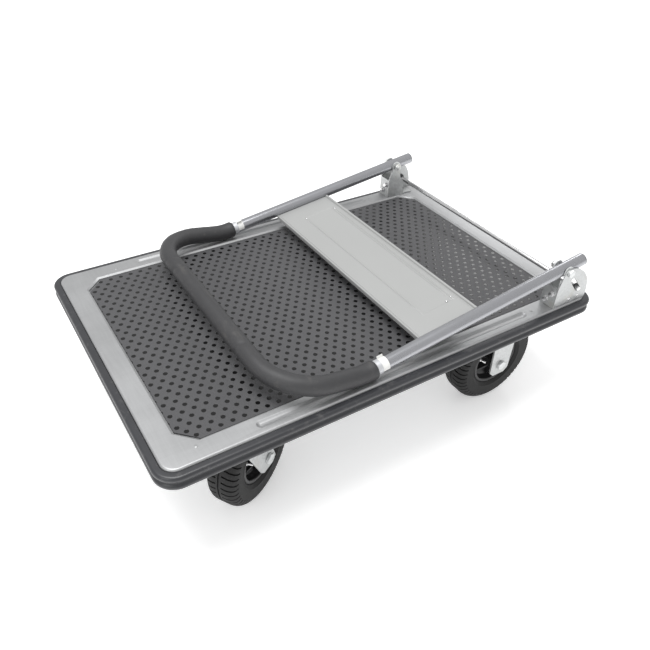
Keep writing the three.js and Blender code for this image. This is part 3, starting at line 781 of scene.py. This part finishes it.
def build_grip(sizes, colours):
    """The foam sleeve, with the folds that the bends push up."""
    shape = mirrored(half_loop(sizes, sizes.sleeve_radius, sizes.sleeve, 48, 0.0032))
    bmesh.ops.recalc_face_normals(shape, faces=shape.faces)
    shape.normal_update()
    bar_x = -(sizes.crank + sizes.grip * math.cos(sizes.crank_turn))
    for vertex in shape.verts:
        p = vertex.co
        from_end = -p.x - sizes.sleeve
        rounding = 0.0024 * (1 - min(1, max(0, from_end) / 0.004)) ** 2
        swell = 0.0007 * noise.noise(p * 22) + 0.0003 * noise.noise(p * 90)
        fold = 0
        for y, depth in ((0.128, 0.0016), (-0.142, 0.0014), (0.165, 0.0007), (-0.118, 0.0006)):
            if p.x < bar_x + 0.05:
                along = (p.y - y + 0.35 * (p.x - bar_x)) / 0.0045
                upper = 0.5 + 0.5 * math.tanh(p.z * 60 - 2.2)
                fold += depth * math.exp(-along * along) * (0.35 + 0.65 * upper)
        vertex.co = p + vertex.normal * (min(swell, 0.0002) - rounding - fold)
    walled(shape, sizes.sleeve_radius - sizes.tube - 0.0003)
    to_cart(shape, sizes.slope)
    settle(shape, math.radians(60))
    material = finish_named("grip_foam", foam_finish, colours)
    made = piece(shape, "foam_grip", material, "handle", ["grip_sleeve"])
    return made


def build_tapes(sizes):
    """A foil band against each end of the foam, and a strip of white tape on the tube beside it."""
    foil, white = bmesh.new(), bmesh.new()
    tube = sizes.tube
    for _, s in SIDES:
        centre = Vector((0, s * sizes.half_width, 0))
        start = -(sizes.sleeve - 0.0006)
        band = [(tube + 0.0002, start), (tube + 0.0011, start + 0.0004), (tube + 0.0010, start + 0.0094),
                (tube + 0.0002, start + 0.0100)]
        ring_of(foil, band, centre, X, 40)
        patch = bmesh.new()
        place = Matrix.Translation((start + 0.0098, s * sizes.half_width, 0)) @ Matrix.Rotation(math.pi / 2, 4, "Y")
        made = bmesh.ops.create_circle(patch, cap_ends=False, segments=40, radius=tube + 0.0003, matrix=place)
        keep_from = -0.0035
        gone = [v for v in made["verts"] if v.co.z < keep_from]
        bmesh.ops.delete(patch, geom=gone, context="VERTS")
        geometry = patch.verts[:] + patch.edges[:]
        carried(patch, geometry, Vector((0.013, 0, 0)), 3)
        bmesh.ops.recalc_face_normals(patch, faces=patch.faces)
        outward = 0
        for face in patch.faces:
            middle = face.calc_center_median()
            outward += face.normal.dot(middle - Vector((middle.x, s * sizes.half_width, 0)))
        if outward < 0:
            bmesh.ops.reverse_faces(patch, faces=patch.faces)
        bmesh.ops.solidify(patch, geom=patch.faces[:], thickness=-0.0004)
        join(white, patch)
        flag = rectangle(start + 0.009, start + 0.021, -0.0002, 0.0002, 0)
        flag = [(x, s * (sizes.half_width - tube * 0.45) + y, tube * 0.88) for x, y, _ in flag]
        slab(white, flag, Vector((0, -s * 0.0022, 0.0062)))
    for shape in (foil, white):
        to_cart(shape, sizes.slope)
        settle(shape, math.radians(40))
    made = piece(foil, "foil_bands", finish_named("foil", tape_finish, "foil", (0.62, 0.63, 0.65), 0.6), "handle")
    tape = finish_named("white_tape", tape_finish, "white_tape", (0.82, 0.82, 0.80))
    made = piece(white, "tape_strips", tape, "handle")


def build_panel(sizes, colours):
    """The pressed cross panel: long edges folded under, a raised field, and bright steel dots at the field's corners
    as painted highlights.
    """
    pivot_to_edge, width, drop, sheet = 0.201, 0.137, 0.004, 0.0015
    reach = sizes.half_width - sizes.tube - 0.0003
    x1 = -pivot_to_edge
    x0 = x1 - width
    shape = bmesh.new()
    top = -drop
    ridges = (x0 + 0.047, x1 - 0.0215, x1 - 0.0165)
    section = [(x0 + 0.010, top - 0.0085), (x0 + 0.0006, top - 0.0085), (x0, top - 0.0078)]
    section += arc(x0 + 0.0018, top - 0.0006, 0.0018, 0.0018, 180, 10, 6)
    section += [(x0 + 0.0044, top - 0.0010), (x0 + 0.0054, top - 0.0002), (x0 + 0.0066, top + 0.0004), (x0 + 0.0080, top)]
    for middle in ridges:
        ridge = ((-0.0022, 0), (-0.0011, 0.0011), (0, 0.0016), (0.0011, 0.0011), (0.0022, 0))
        section += [(middle + dx, top + h) for dx, h in ridge]
    section += [(x1 - 0.0085, top), (x1 - 0.0072, top - 0.0009), (x1 - 0.0060, top - 0.0006)]
    section += arc(x1 - 0.0028, top + 0.0008, 0.0028, 0.0026, 175, 0, 8)
    section += [(x1, top - 0.0078), (x1 - 0.0006, top - 0.0085), (x1 - 0.010, top - 0.0085)]
    verts = [shape.verts.new((x, -reach, z)) for x, z in section]
    edges = [shape.edges.new(pair) for pair in zip(verts, verts[1:])]
    geometry = verts + edges
    stops = [-0.2115, -0.2095, -0.2075, -0.2040, 0.2040, 0.2075, 0.2095, 0.2115, reach]
    at = -reach
    for stop in stops:
        geometry = carried(shape, geometry, Vector((0, stop - at, 0)), 12 if stop == 0.2040 else 1)
        at = stop
    for vertex in shape.verts:
        x, y = vertex.co.x, abs(vertex.co.y)
        if x0 + 0.02 < x < x1 - 0.0095 and vertex.co.z > top - 0.001:
            along = (vertex.co.z - top) * min(1, max(0, (0.2080 - y) / 0.004))
            across = 0.0007 * max(0, 1 - abs(y - 0.2095) / 0.002) if ridges[0] - 0.001 < x < ridges[1] + 0.001 else 0
            vertex.co.z = top + max(along, across)
    bmesh.ops.recalc_face_normals(shape, faces=shape.faces)
    up = sum(f.normal.z * f.calc_area() for f in shape.faces if f.calc_center_median().z > top - 0.001)
    if up < 0:
        bmesh.ops.reverse_faces(shape, faces=shape.faces)
    bmesh.ops.solidify(shape, geom=shape.faces[:], thickness=sheet)
    to_cart(shape, sizes.slope)
    settle(shape, math.radians(35))
    material = finish_named("panel_paint", panel_finish, colours)
    flatten(piece(shape, "pressed_cross_panel", material, "handle", ["cross_panel"]))
    # Painted highlights: small bright steel dots where the light catches the corners of the raised field.
    dots = bmesh.new()
    for x, y in ((x1 - 0.0175, 0.2), (x1 - 0.0175, -0.2), (x1 - 0.033, -0.206), (x0 + 0.046, 0.204)):
        lone = bmesh.new()
        bmesh.ops.create_uvsphere(lone, u_segments=16, v_segments=8, radius=0.0021)
        bmesh.ops.scale(lone, vec=(1, 1, 0.42), verts=lone.verts)
        bmesh.ops.translate(lone, vec=(x, y, top + 0.0013), verts=lone.verts)
        join(dots, lone)
    to_cart(dots, sizes.slope)
    settle(dots)
    made = piece(dots, "panel_highlight_dots", finish_named("bright_steel", bright_finish), "handle")


def build_plugs(sizes):
    for side, s in SIDES:
        shape = bmesh.new()
        inner = sizes.tube - 0.0022
        profile = [(0, -0.012), (inner - 0.0006, -0.012), (inner, -0.010), (inner, 0.0003), (sizes.tube, 0.0003),
                   (sizes.tube, 0.0012), (sizes.tube - 0.0006, 0.0019), (sizes.tube - 0.002, 0.0023), (0, 0.0023)]
        ring_of(shape, profile, (sizes.tail, s * sizes.half_width, 0), X, 36)
        to_cart(shape, sizes.slope)
        settle(shape)
        material = finish_named("black_plastic", moulded_finish, "black_plastic", (0.035, 0.035, 0.037))
        piece(shape, "end_plug_" + side, material, "handle", ["tube_plug_" + side])


# ---- the hinge ----


def copy_of(node):
    """A CAD node's mesh, merged into whole faces, to be finished with bevels."""
    shape = bmesh.new()
    shape.from_mesh(frame["nodes"][node].data)
    bmesh.ops.remove_doubles(shape, verts=shape.verts, dist=1e-5)
    bmesh.ops.dissolve_limit(
        shape, angle_limit=math.radians(2), use_dissolve_boundaries=False, verts=shape.verts, edges=shape.edges
    )
    return shape


def bar_line():
    slide = JOINTS["bar_slide"]
    low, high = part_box("locking_bar")
    rest = Vector(((low.x + high.x) / 2, 0, (low.z + high.z) / 2))
    return rest, rest + Vector(slide["axis"]) * slide["range_m"][1]


def build_bracket(side, s, colours):
    """Two cheeks, the nose plate and the foot, from one folded sheet, with its bolts."""
    low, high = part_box("hinge_bracket_" + side)
    sheet = 0.0025
    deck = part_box("deck_tray")[1].z
    nose = low.x
    rest, locked = bar_line()
    shape = bmesh.new()
    foot = low.z
    outer_y = high.y - sheet if s > 0 else low.y
    inner_y = low.y if s > 0 else high.y - sheet
    cheek = [
        (nose, foot), (rest.x + 0.029, foot), (rest.x + 0.031, deck + 0.015), (rest.x + 0.025, deck + 0.043),
        (rest.x + 0.011, deck + 0.063), (PIVOT.x + 0.026, PIVOT.z + 0.003), (PIVOT.x + 0.006, PIVOT.z + 0.007),
        (PIVOT.x - 0.006, PIVOT.z + 0.006), (PIVOT.x - 0.012, PIVOT.z - 0.004), (nose, deck + 0.046),
    ]
    rounding = [0.001, 0.003, 0.006, 0.011, 0.011, 0.009, 0.007, 0.006, 0.004, 0.002]
    slope = math.atan2(locked.z - rest.z, rest.x - locked.x)
    off = 0.0068
    dx, dz = -off * math.sin(slope), -off * math.cos(slope)
    back = rest.x - 0.014
    inner = [
        (nose, foot), (back, foot), (back, rest.z + dz + (rest.x + dx - back) * math.tan(slope)),
        (locked.x + dx, locked.z + dz), (PIVOT.x + 0.011, PIVOT.z - 0.012), (PIVOT.x + 0.011, PIVOT.z + 0.007),
        (PIVOT.x - 0.008, PIVOT.z + 0.007), (nose, deck + 0.046),
    ]
    slab(shape, [(x, outer_y, z) for x, z in cheek], Y * sheet, rounding, 4)
    inner_rounding = [0.001, 0.002, 0.006, 0.006, 0.004, 0.007, 0.006, 0.002]
    slab(shape, [(x, inner_y, z) for x, z in inner], Y * sheet, inner_rounding, 4)
    y0, y1 = low.y, high.y
    slab(shape, [(nose, y0, foot), (nose, y1, foot), (nose, y1, deck + 0.046), (nose, y0, deck + 0.046)], X * sheet,
         [0.0005, 0.0005, 0.003, 0.003], 3)
    slab(shape, rectangle(nose, rest.x + 0.014, y0, y1, foot), Z * sheet)
    settle(shape)
    material = finish_named("bracket_zinc", zinc_finish, colours, "bracket_zinc", 1.05)
    made = piece(shape, "hinge_cheeks_" + side, material, "deck", ["hinge_bracket_" + side])
    cut_slot(made, rest, locked, outer_y, sheet)
    soften(made, 0.0006, 2, 40)
    bolts = bmesh.new()
    middle = (y0 + y1) / 2
    for y, z in ((middle - 0.006, deck + 0.030), (middle + 0.005, deck + 0.0135)):
        bolt(bolts, (nose, y, z), -X, 0.010, 0.0042, 0.0062)
    for x in (rest.x - 0.012, rest.x - 0.034):
        bolt(bolts, (x, middle, foot + sheet), Z, 0.010, 0.0045, 0.0065)
    outer_face = high.y if s > 0 else low.y
    for x, z in ((rest.x - 0.018, deck + 0.0105), (rest.x + 0.006, deck + 0.012)):
        rivet = bmesh.new()
        bmesh.ops.create_uvsphere(rivet, u_segments=20, v_segments=10, radius=0.0036)
        bmesh.ops.scale(rivet, vec=(1, 0.45, 1), verts=rivet.verts)
        bmesh.ops.translate(rivet, vec=(x, outer_face, z), verts=rivet.verts)
        join(bolts, rivet)
    settle(bolts)
    piece(bolts, "bracket_bolts_" + side, finish_named("bright_steel", bright_finish), "deck", ())


def cut_slot(made, rest, locked, outer_y, sheet):
    """Cuts the bar's slot out of the outer cheek and keeps the result."""
    cutter = bmesh.new()
    along = (locked - rest).normalized()
    across = Y.cross(along).normalized()
    radius = 0.0058
    corners = [rest - along * radius - across * radius, locked + along * radius - across * radius,
               locked + along * radius + across * radius, rest - along * radius + across * radius]
    y0 = outer_y - 0.004
    slab(cutter, [(c.x, y0, c.z) for c in corners], Y * (sheet + 0.008), radius * 0.998, 8)
    mesh = bpy.data.meshes.new("slot_cutter")
    cutter.to_mesh(mesh)
    cutter.free()
    tool = bpy.data.objects.new("slot_cutter", mesh)
    bpy.context.scene.collection.objects.link(tool)
    cut = made.modifiers.new("slot", "BOOLEAN")
    cut.operation, cut.solver, cut.object, cut.use_self = "DIFFERENCE", "EXACT", tool, True
    keep_modified(made)
    bpy.data.objects.remove(tool)


def keep_modified(made):
    """Puts the result of the modifiers into the mesh."""
    depsgraph = bpy.context.evaluated_depsgraph_get()
    result = bpy.data.meshes.new_from_object(made.evaluated_get(depsgraph))
    old = made.data
    made.modifiers.clear()
    made.data = result
    result.name = made.name
    bpy.data.meshes.remove(old)


def build_pivots(side, s, colours):
    material = fastener_material(colours)
    low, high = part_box("pivot_bolt_" + side)
    centre = Vector((PIVOT.x, 0, PIVOT.z))
    outer, inner = (high.y, low.y) if s > 0 else (low.y, high.y)
    shape = bmesh.new()
    seat = outer - s * 0.006
    rod(shape, centre + Y * inner, centre + Y * (seat + s * 0.001), 0.005, 28, 0.0007, 2)
    hexagon(shape, centre + Y * seat, centre + Y * outer, 0.015)
    settle(shape)
    piece(shape, "pivot_screw_" + side, material, "deck", ["pivot_bolt_" + side])
    low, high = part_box("pivot_nut_" + side)
    shape = bmesh.new()
    inner, outer = (low.y, high.y) if s > 0 else (high.y, low.y)
    hexagon(shape, centre + Y * outer, centre + Y * inner, 0.015)
    settle(shape)
    piece(shape, "lock_nut_" + side, material, "deck", ["pivot_nut_" + side])
    for which in ("inner", "outer"):
        node = f"pivot_washer_{which}_{side}"
        low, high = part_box(node)
        shape = bmesh.new()
        b = 0.0003
        profile = [(0.0053, low.y), (0.012 - b, low.y), (0.012, low.y + b), (0.012, high.y - b), (0.012 - b, high.y),
                   (0.0053, high.y)]
        ring_of(shape, profile, centre, Y, 32)
        settle(shape)
        piece(shape, f"spacer_{which}_{side}", material, "deck", [node])


def build_bar():
    low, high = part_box("locking_bar")
    centre = Vector(((low.x + high.x) / 2, 0, (low.z + high.z) / 2))
    radius = (high.x - low.x) / 2
    shape = bmesh.new()
    rod(shape, centre + Y * low.y, centre + Y * high.y, radius, 32, 0.0012, 3)
    settle(shape)
    piece(shape, "release_bar", finish_named("bright_steel", bright_finish), "lock", ["locking_bar"])
    plastic = finish_named("black_plastic", moulded_finish, "black_plastic", (0.035, 0.035, 0.037))
    for side, _ in SIDES:
        low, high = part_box("bar_ring_" + side)
        shape = bmesh.new()
        b = 0.0006
        profile = [(0.0053, low.y), (0.009 - b, low.y), (0.009, low.y + b), (0.009, high.y - b), (0.009 - b, high.y),
                   (0.0053, high.y)]
        ring_of(shape, profile, centre, Y, 32)
        settle(shape)
        piece(shape, "bar_collar_" + side, plastic, "lock", ["bar_ring_" + side])


# ---- wheels and casters ----


def wheel_frame(name):
    """The wheel's centre and its axle's direction, outboard end last."""
    kind, side = name.split("_")
    joint = JOINTS[f"{kind}_wheel_spin_{side}"]
    axis = Vector(joint["axis"]).normalized()
    return Vector(joint["pos_m"]), axis, f"{kind}_wheel_{side}"


def stand_up(shape, centre, axis):
    """Moves a shape drawn about the Y axis to a wheel's place."""
    turn = Y.rotation_difference(axis).to_matrix().to_4x4()
    bmesh.ops.transform(shape, matrix=Matrix.Translation(centre) @ turn, verts=shape.verts)


def build_tyre(name, sizes, colours):
    """A tyre with a round shoulder, a middle groove and curved cross grooves pressed into its tread."""
    centre, axis, body = wheel_frame(name)
    half = sizes.width / 2
    shoulder = 0.0185
    crown = sizes.radius
    flat = half - shoulder
    shape = bmesh.new()
    profile = [(sizes.bead + 0.0002, 0.0212), (sizes.bead + 0.0002, 0.0236), (sizes.bead + 0.0030, 0.0262), (0.0625, 0.0276),
               (0.0640, 0.0291), (0.0665, 0.0291), (0.0680, 0.0288)]
    for degrees in (84, 66, 50, 36, 22, 8):
        a = math.radians(degrees)
        profile.append((crown - shoulder + (shoulder - 0.0002) * math.cos(a), flat + shoulder * math.sin(a)))
    profile += [(crown, flat - 0.002), (crown, 0.0052), (crown, 0.0016), (crown - 0.0022, 0.0011), (crown - 0.0026, 0)]
    left = [(r, -y) for r, y in reversed(profile[:-1])]
    points = profile + left
    verts = [shape.verts.new((r, y, 0)) for r, y in points]
    edges = [shape.edges.new(pair) for pair in zip(verts, verts[1:] + verts[:1])]
    columns = 4
    total = sizes.lugs * columns
    bmesh.ops.spin(
        shape, geom=verts + edges, cent=(0, 0, 0), axis=Y, dvec=(0, 0, 0), angle=2 * math.pi, steps=total, use_merge=True
    )
    bmesh.ops.remove_doubles(shape, verts=shape.verts, dist=2e-6)
    bmesh.ops.recalc_face_normals(shape, faces=shape.faces)
    grooves = []
    for face in shape.faces:
        c = face.calc_center_median()
        radial = math.hypot(c.x, c.z)
        turn = math.degrees(math.atan2(c.z, c.x)) % 360
        column = int(turn / (360 / total)) % columns
        offset = 0 if c.y > 0 else 2
        if column == offset and abs(c.y) > 0.0052 and radial > crown - 0.0140:
            grooves.append(face)
    bmesh.ops.inset_region(shape, faces=grooves, thickness=0.0004, depth=-sizes.tread_depth, use_even_offset=True)
    for vertex in shape.verts:
        reach = abs(vertex.co.y) / half
        lean = 0.055 * reach * reach * min(1, max(0, (math.hypot(vertex.co.x, vertex.co.z) - 0.07) / 0.02))
        vertex.co.rotate(Matrix.Rotation(-lean, 3, "Y"))
    stand_up(shape, centre, axis)
    settle(shape, math.radians(38))
    material = finish_named("tyre_rubber", tyre_finish, colours)
    piece(shape, name + "_air_tyre", material, body, [name + "_tyre"])


def build_rim(name):
    """A two-part rim: bead flanges, dished disc with stiffening ribs, hub, and the valve stem on its outboard side."""
    centre, axis, body = wheel_frame(name)
    material = finish_named("rim_enamel", moulded_finish, "rim_enamel", (0.018, 0.018, 0.019), 0.3)
    shape = bmesh.new()
    r = 0.0562
    profile = [
        (0.0164, -0.0288), (0.0182, -0.0290), (0.0190, -0.0283), (0.0196, -0.0100), (0.0220, -0.0062), (0.0400, -0.0052),
        (0.0465, -0.0085), (0.0492, -0.0150), (0.0494, -0.0222), (0.0505, -0.0238), (0.0545, -0.0243), (r - 0.0004, -0.0236),
        (r, -0.0226), (r - 0.0006, -0.0217), (0.0522, -0.0212), (0.0520, -0.0195), (0.0520, 0.0195), (0.0522, 0.0212),
        (r - 0.0006, 0.0217), (r, 0.0226), (r - 0.0004, 0.0236), (0.0545, 0.0243), (0.0505, 0.0238), (0.0494, 0.0222),
        (0.0492, 0.0150), (0.0465, 0.0085), (0.0400, 0.0052), (0.0220, 0.0062), (0.0196, 0.0100), (0.0190, 0.0283),
        (0.0182, 0.0290), (0.0164, 0.0288),
    ]
    ring_of(shape, profile, (0, 0, 0), Y, 72)
    ribs, rib_thickness = 6, 0.0032
    for k in range(ribs):
        turn = Matrix.Rotation(math.radians(360 / ribs * k + 30), 4, "Y")
        for s in (-1, 1):
            rib = bmesh.new()
            corners = [(0.0185, 0.0048), (0.0480, 0.0060), (0.0480, 0.0110), (0.0185, 0.0215)]
            slab(rib, [(x, s * h, -rib_thickness / 2) for x, h in corners], Z * rib_thickness)
            bmesh.ops.transform(rib, matrix=turn, verts=rib.verts)
            join(shape, rib)
    stand_up(shape, centre, axis)
    settle(shape)
    piece(shape, name + "_wheel_rim", material, body, [name + "_rim"])
    outboard = -1 if name.endswith("near") else 1
    if name.startswith("swivel"):
        outboard = -1
    stem = bmesh.new()
    lean = Matrix.Rotation(math.radians(200), 4, "Y")
    rod(stem, (0.0478, outboard * 0.0120, 0), (0.0425, outboard * 0.0215, 0), 0.0038, 20, 0.0006, 2)
    rod(stem, (0.0430, outboard * 0.0206, 0), (0.0375, outboard * 0.0300, 0), 0.0026, 20, 0.0006, 2)
    bmesh.ops.transform(stem, matrix=lean, verts=stem.verts)
    stand_up(stem, centre, axis)
    settle(stem)
    piece(stem, name + "_valve", finish_named("bright_steel", bright_finish), body, ())


def build_bearing(name, which, colours):
    """A ball bearing's outer ring, seal and inner ring in one turned piece."""
    centre, axis, body = wheel_frame(name)
    node = f"{name}_bearing_{which}"
    s = -1 if which == "outboard" else 1
    y0, y1 = 0.018, 0.028
    profile = [(0.0066, y0), (0.0160, y0), (0.0160, y1 - 0.0004), (0.0156, y1), (0.0136, y1), (0.0132, y1 - 0.0008),
               (0.0094, y1 - 0.0008), (0.0090, y1), (0.0070, y1), (0.0066, y1 - 0.0004)]
    shape = bmesh.new()
    ring_of(shape, [(r, s * y) for r, y in profile], (0, 0, 0), Y, 40)
    stand_up(shape, centre, axis)
    settle(shape)
    material = fastener_material(colours)
    piece(shape, f"{name}_ball_race_{which}", material, body, [node])


def build_axle(name, colours):
    centre, axis, _ = wheel_frame(name)
    kind, side = name.split("_")
    body = "deck" if kind == "rigid" else "swivel_head_" + side
    material = fastener_material(colours)
    face = 0.0403
    outboard = -1 if not (kind == "rigid" and side == "far") else 1
    shape = bmesh.new()
    rod(shape, Y * (-outboard * (face + 0.0100)), Y * (outboard * (face + 0.001)), 0.006, 32, 0.0009, 2)
    hexagon(shape, Y * (outboard * face), Y * (outboard * (face + 0.006)), 0.019, 0.0012)
    stand_up(shape, centre, axis)
    settle(shape)
    piece(shape, name + "_axle_screw", material, body, [name + "_axle_bolt"])
    shape = bmesh.new()
    hexagon(shape, Y * (-outboard * face), Y * (-outboard * (face + 0.006)), 0.019, 0.0012)
    stand_up(shape, centre, axis)
    settle(shape)
    piece(shape, name + "_axle_lock_nut", material, body, [name + "_axle_nut"])


def build_fork(kind, side, colours):
    """The caster's fork, with its pressed corners rounded."""
    node = f"{kind}_fork_{side}"
    body = "deck" if kind == "rigid" else "swivel_head_" + side
    shape = copy_of(node)
    settle(shape)
    material = caster_material(colours)
    made = piece(shape, f"{kind}_fork_pressing_{side}", material, body, [node])
    soften(made, 0.0011, 3, 40)


def build_plate(kind, side, colours):
    """The bolts that hold a caster to its channel, and the swivel caster's plate and ball race."""
    material = caster_material(colours)
    bright = fastener_material(colours)
    if kind == "rigid":
        centre = Vector(JOINTS["rigid_wheel_spin_" + side]["pos_m"])
        low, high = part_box("rigid_fork_" + side)
        top, under = high.z, high.z - 0.005
        half_y = (high.y - low.y) / 2 - 0.008
    else:
        centre = Vector(JOINTS["swivel_" + side]["pos_m"])
        low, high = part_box("swivel_plate_" + side)
        top, under = high.z, low.z
        half_y = (high.y - low.y) / 2 - 0.009
        shape = copy_of("swivel_plate_" + side)
        settle(shape)
        made = piece(shape, "swivel_top_plate_" + side, material, "deck", ["swivel_plate_" + side])
        soften(made, 0.0009, 2, 40)
        race_low, race_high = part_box("swivel_race_" + side)
        a, b = race_low.z, race_high.z
        mid = (a + b) / 2
        profile = [(0.0084, a), (0.030, a), (0.0335, a + 0.0006), (0.0362, mid - 0.0016), (0.0368, mid - 0.0004),
                   (0.0350, mid), (0.0368, mid + 0.0004), (0.0362, mid + 0.0016), (0.0335, b - 0.0006), (0.030, b), (0.0084, b)]
        shape = bmesh.new()
        ring_of(shape, profile, (centre.x, centre.y, 0), Z, 56)
        settle(shape)
        piece(shape, "ball_race_" + side, material, "deck", ["swivel_race_" + side])
        pin_low, pin_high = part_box("kingpin_" + side)
        shape = bmesh.new()
        at = Vector((centre.x, centre.y, 0))
        rod(shape, at + Z * (pin_low.z + 0.001), at + Z * pin_high.z, 0.008, 36, 0.0008, 2)
        hexagon(shape, at + Z * (pin_low.z + 0.006), at + Z * pin_low.z, 0.0236, 0.0014)
        settle(shape)
        piece(shape, "king_bolt_" + side, bright, "swivel_head_" + side, ["kingpin_" + side])
    shape = bmesh.new()
    for dx in (-0.043, 0.043):
        for dy in (-half_y, half_y):
            bolt(shape, (centre.x + dx, centre.y + dy, under), -Z, 0.013, 0.0055, 0.0085, 0.003)
            x, y = centre.x + dx, centre.y + dy
            hexagon(shape, (x, y, top + 0.0029), (x, y, top + 0.0080), 0.013)
    settle(shape)
    piece(shape, f"{kind}_plate_bolts_{side}", bright, "deck", ())


# ---- operators and panel ----


class CartStep:
    """What every operator here has in common."""

    bl_options = {"REGISTER", "UNDO"}

    def execute(self, context):
        self.build(context.scene)
        return {"FINISHED"}


class CART_OT_stage(CartStep, bpy.types.Operator):
    """Sets the camera, the lights and the softly glowing pale floor"""

    bl_idname = "cart.stage"
    bl_label = "Stage"

    def build(self, scene):
        data = bpy.data.cameras.new("view")
        data.sensor_width, data.lens, data.clip_end = 36, 36, 50
        data.shift_x, data.shift_y = 0.0137, -0.003
        camera = bpy.data.objects.new("view", data)
        scene.collection.objects.link(camera)
        azimuth, elevation, roll = (math.radians(a) for a in (-33.10, 37.74, 2.10))
        level = math.cos(elevation)
        away = Vector((math.sin(azimuth) * level, -math.cos(azimuth) * level, math.sin(elevation)))
        right = Z.cross(away).normalized()
        up = away.cross(right)
        turned_right = right * math.cos(roll) + up * math.sin(roll)
        turned_up = up * math.cos(roll) - right * math.sin(roll)
        turn = Matrix((turned_right, turned_up, away)).transposed().to_4x4()
        camera.matrix_world = Matrix.Translation((-0.6035, -0.9032, 0.9928)) @ turn
        scene.camera = camera
        scene.view_settings.view_transform = "Standard"
        world = scene.world or bpy.data.worlds.new("studio")
        scene.world = world
        world.use_nodes = True
        backdrop = world.node_tree.nodes.get("Background") or world.node_tree.nodes.new("ShaderNodeBackground")
        backdrop.inputs["Color"].default_value = (1, 1, 1, 1)
        backdrop.inputs["Strength"].default_value = 0.72
        for name, place, aim, size, power in (
            ("key_softbox", (-0.6, 0.1, 3.4), (0, 0, 0.2), 2.0, 72),
            ("side_softbox", (-1.9, -0.9, 1.3), (0, 0, 0.2), 1.2, 7),
            ("back_softbox", (2.1, 1.35, 1.55), (0, 0, 0.2), 0.7, 5),
        ):
            lamp = bpy.data.lights.new(name, "AREA")
            lamp.shape, lamp.size, lamp.energy = "DISK", size, power
            made = bpy.data.objects.new(name, lamp)
            scene.collection.objects.link(made)
            way = Vector(aim) - Vector(place)
            made.matrix_world = Matrix.Translation(place) @ way.to_track_quat("-Z", "Y").to_matrix().to_4x4()
        floor = bmesh.new()
        bmesh.ops.create_grid(floor, x_segments=2, y_segments=2, size=12)
        mesh = bpy.data.meshes.new("studio_floor")
        floor.to_mesh(mesh)
        floor.free()
        made = bpy.data.objects.new("studio_floor", mesh)
        scene.collection.objects.link(made)
        mesh.materials.append(finish_named("studio_floor", floor_finish))


class CART_OT_deck(CartStep, bpy.types.Operator):
    """Builds the pressed tray and finishes the channels under it"""

    bl_idname = "cart.deck"
    bl_label = "Deck tray"

    def build(self, scene):
        build_tray(scene.cart_deck, scene.cart_colours)
        build_rim_marks(scene.cart_colours)
        for node in ("spine_rail", "cross_channel_hinge_end", "cross_channel_swivel_end"):
            data = frame["nodes"][node].data
            data.materials.clear()
            data.materials.append(finish_named("deck_steel", deck_steel_finish, scene.cart_colours))


class CART_OT_mat(CartStep, bpy.types.Operator):
    """Builds the embossed vinyl mat"""

    bl_idname = "cart.mat"
    bl_label = "Mat"

    def build(self, scene):
        build_mat(scene.cart_colours)


class CART_OT_edge(CartStep, bpy.types.Operator):
    """Builds the rubber strip round the deck"""

    bl_idname = "cart.edge"
    bl_label = "Rubber edge"

    def build(self, scene):
        build_edge(scene.cart_colours)


class CART_OT_handle(CartStep, bpy.types.Operator):
    """Builds the handle's tube, foam, tapes, plugs and cross panel"""

    bl_idname = "cart.handle"
    bl_label = "Handle"

    def build(self, scene):
        sizes, colours = scene.cart_handle, scene.cart_colours
        build_tube(sizes, colours)
        build_grip(sizes, colours)
        build_tapes(sizes)
        build_panel(sizes, colours)
        build_plugs(sizes)


class CART_OT_hinge(CartStep, bpy.types.Operator):
    """Builds the hinge brackets, their pivots and the locking bar"""

    bl_idname = "cart.hinge"
    bl_label = "Hinge"

    def build(self, scene):
        for side, s in SIDES:
            build_bracket(side, s, scene.cart_colours)
            build_pivots(side, s, scene.cart_colours)
        build_bar()


class CART_OT_wheels(CartStep, bpy.types.Operator):
    """Builds the tyres, rims, bearings and axles"""

    bl_idname = "cart.wheels"
    bl_label = "Wheels"

    def build(self, scene):
        for name in WHEELS:
            build_tyre(name, scene.cart_wheel, scene.cart_colours)
            build_rim(name)
            for which in ("outboard", "inboard"):
                build_bearing(name, which, scene.cart_colours)
            build_axle(name, scene.cart_colours)


class CART_OT_casters(CartStep, bpy.types.Operator):
    """Builds the forks, plates, races and their bolts"""

    bl_idname = "cart.casters"
    bl_label = "Casters"

    def build(self, scene):
        for kind in ("rigid", "swivel"):
            for side, _ in SIDES:
                build_fork(kind, side, scene.cart_colours)
                build_plate(kind, side, scene.cart_colours)


STEPS = (
    CART_OT_stage, CART_OT_deck, CART_OT_mat, CART_OT_edge, CART_OT_handle, CART_OT_hinge, CART_OT_wheels, CART_OT_casters,
)
GROUPS = {"cart_deck": DeckSizes, "cart_handle": HandleSizes, "cart_wheel": WheelSizes, "cart_colours": CartColours}


class CART_PT_panel(bpy.types.Panel):
    """Lists the cart's sizes, colours and building steps"""

    bl_idname = "CART_PT_panel"
    bl_label = "Folding platform cart"
    bl_space_type = "VIEW_3D"
    bl_region_type = "UI"
    bl_category = "Cart"

    def draw(self, context):
        for step in STEPS:
            self.layout.operator(step.bl_idname)
        for group, kind in GROUPS.items():
            box = self.layout.box()
            for key in kind.__annotations__:
                box.prop(getattr(context.scene, group), key)


def register():
    for kind in (*GROUPS.values(), *STEPS, CART_PT_panel):
        bpy.utils.register_class(kind)
    for group, kind in GROUPS.items():
        setattr(bpy.types.Scene, group, bpy.props.PointerProperty(type=kind))


def unregister():
    for group in GROUPS:
        delattr(bpy.types.Scene, group)
    for kind in reversed((*GROUPS.values(), *STEPS, CART_PT_panel)):
        bpy.utils.unregister_class(kind)


def main():
    register()
    for step in STEPS:
        getattr(bpy.ops.cart, step.bl_idname.split(".")[1])()
    bpy.context.view_layer.update()


if __name__ == "__main__":
    main()
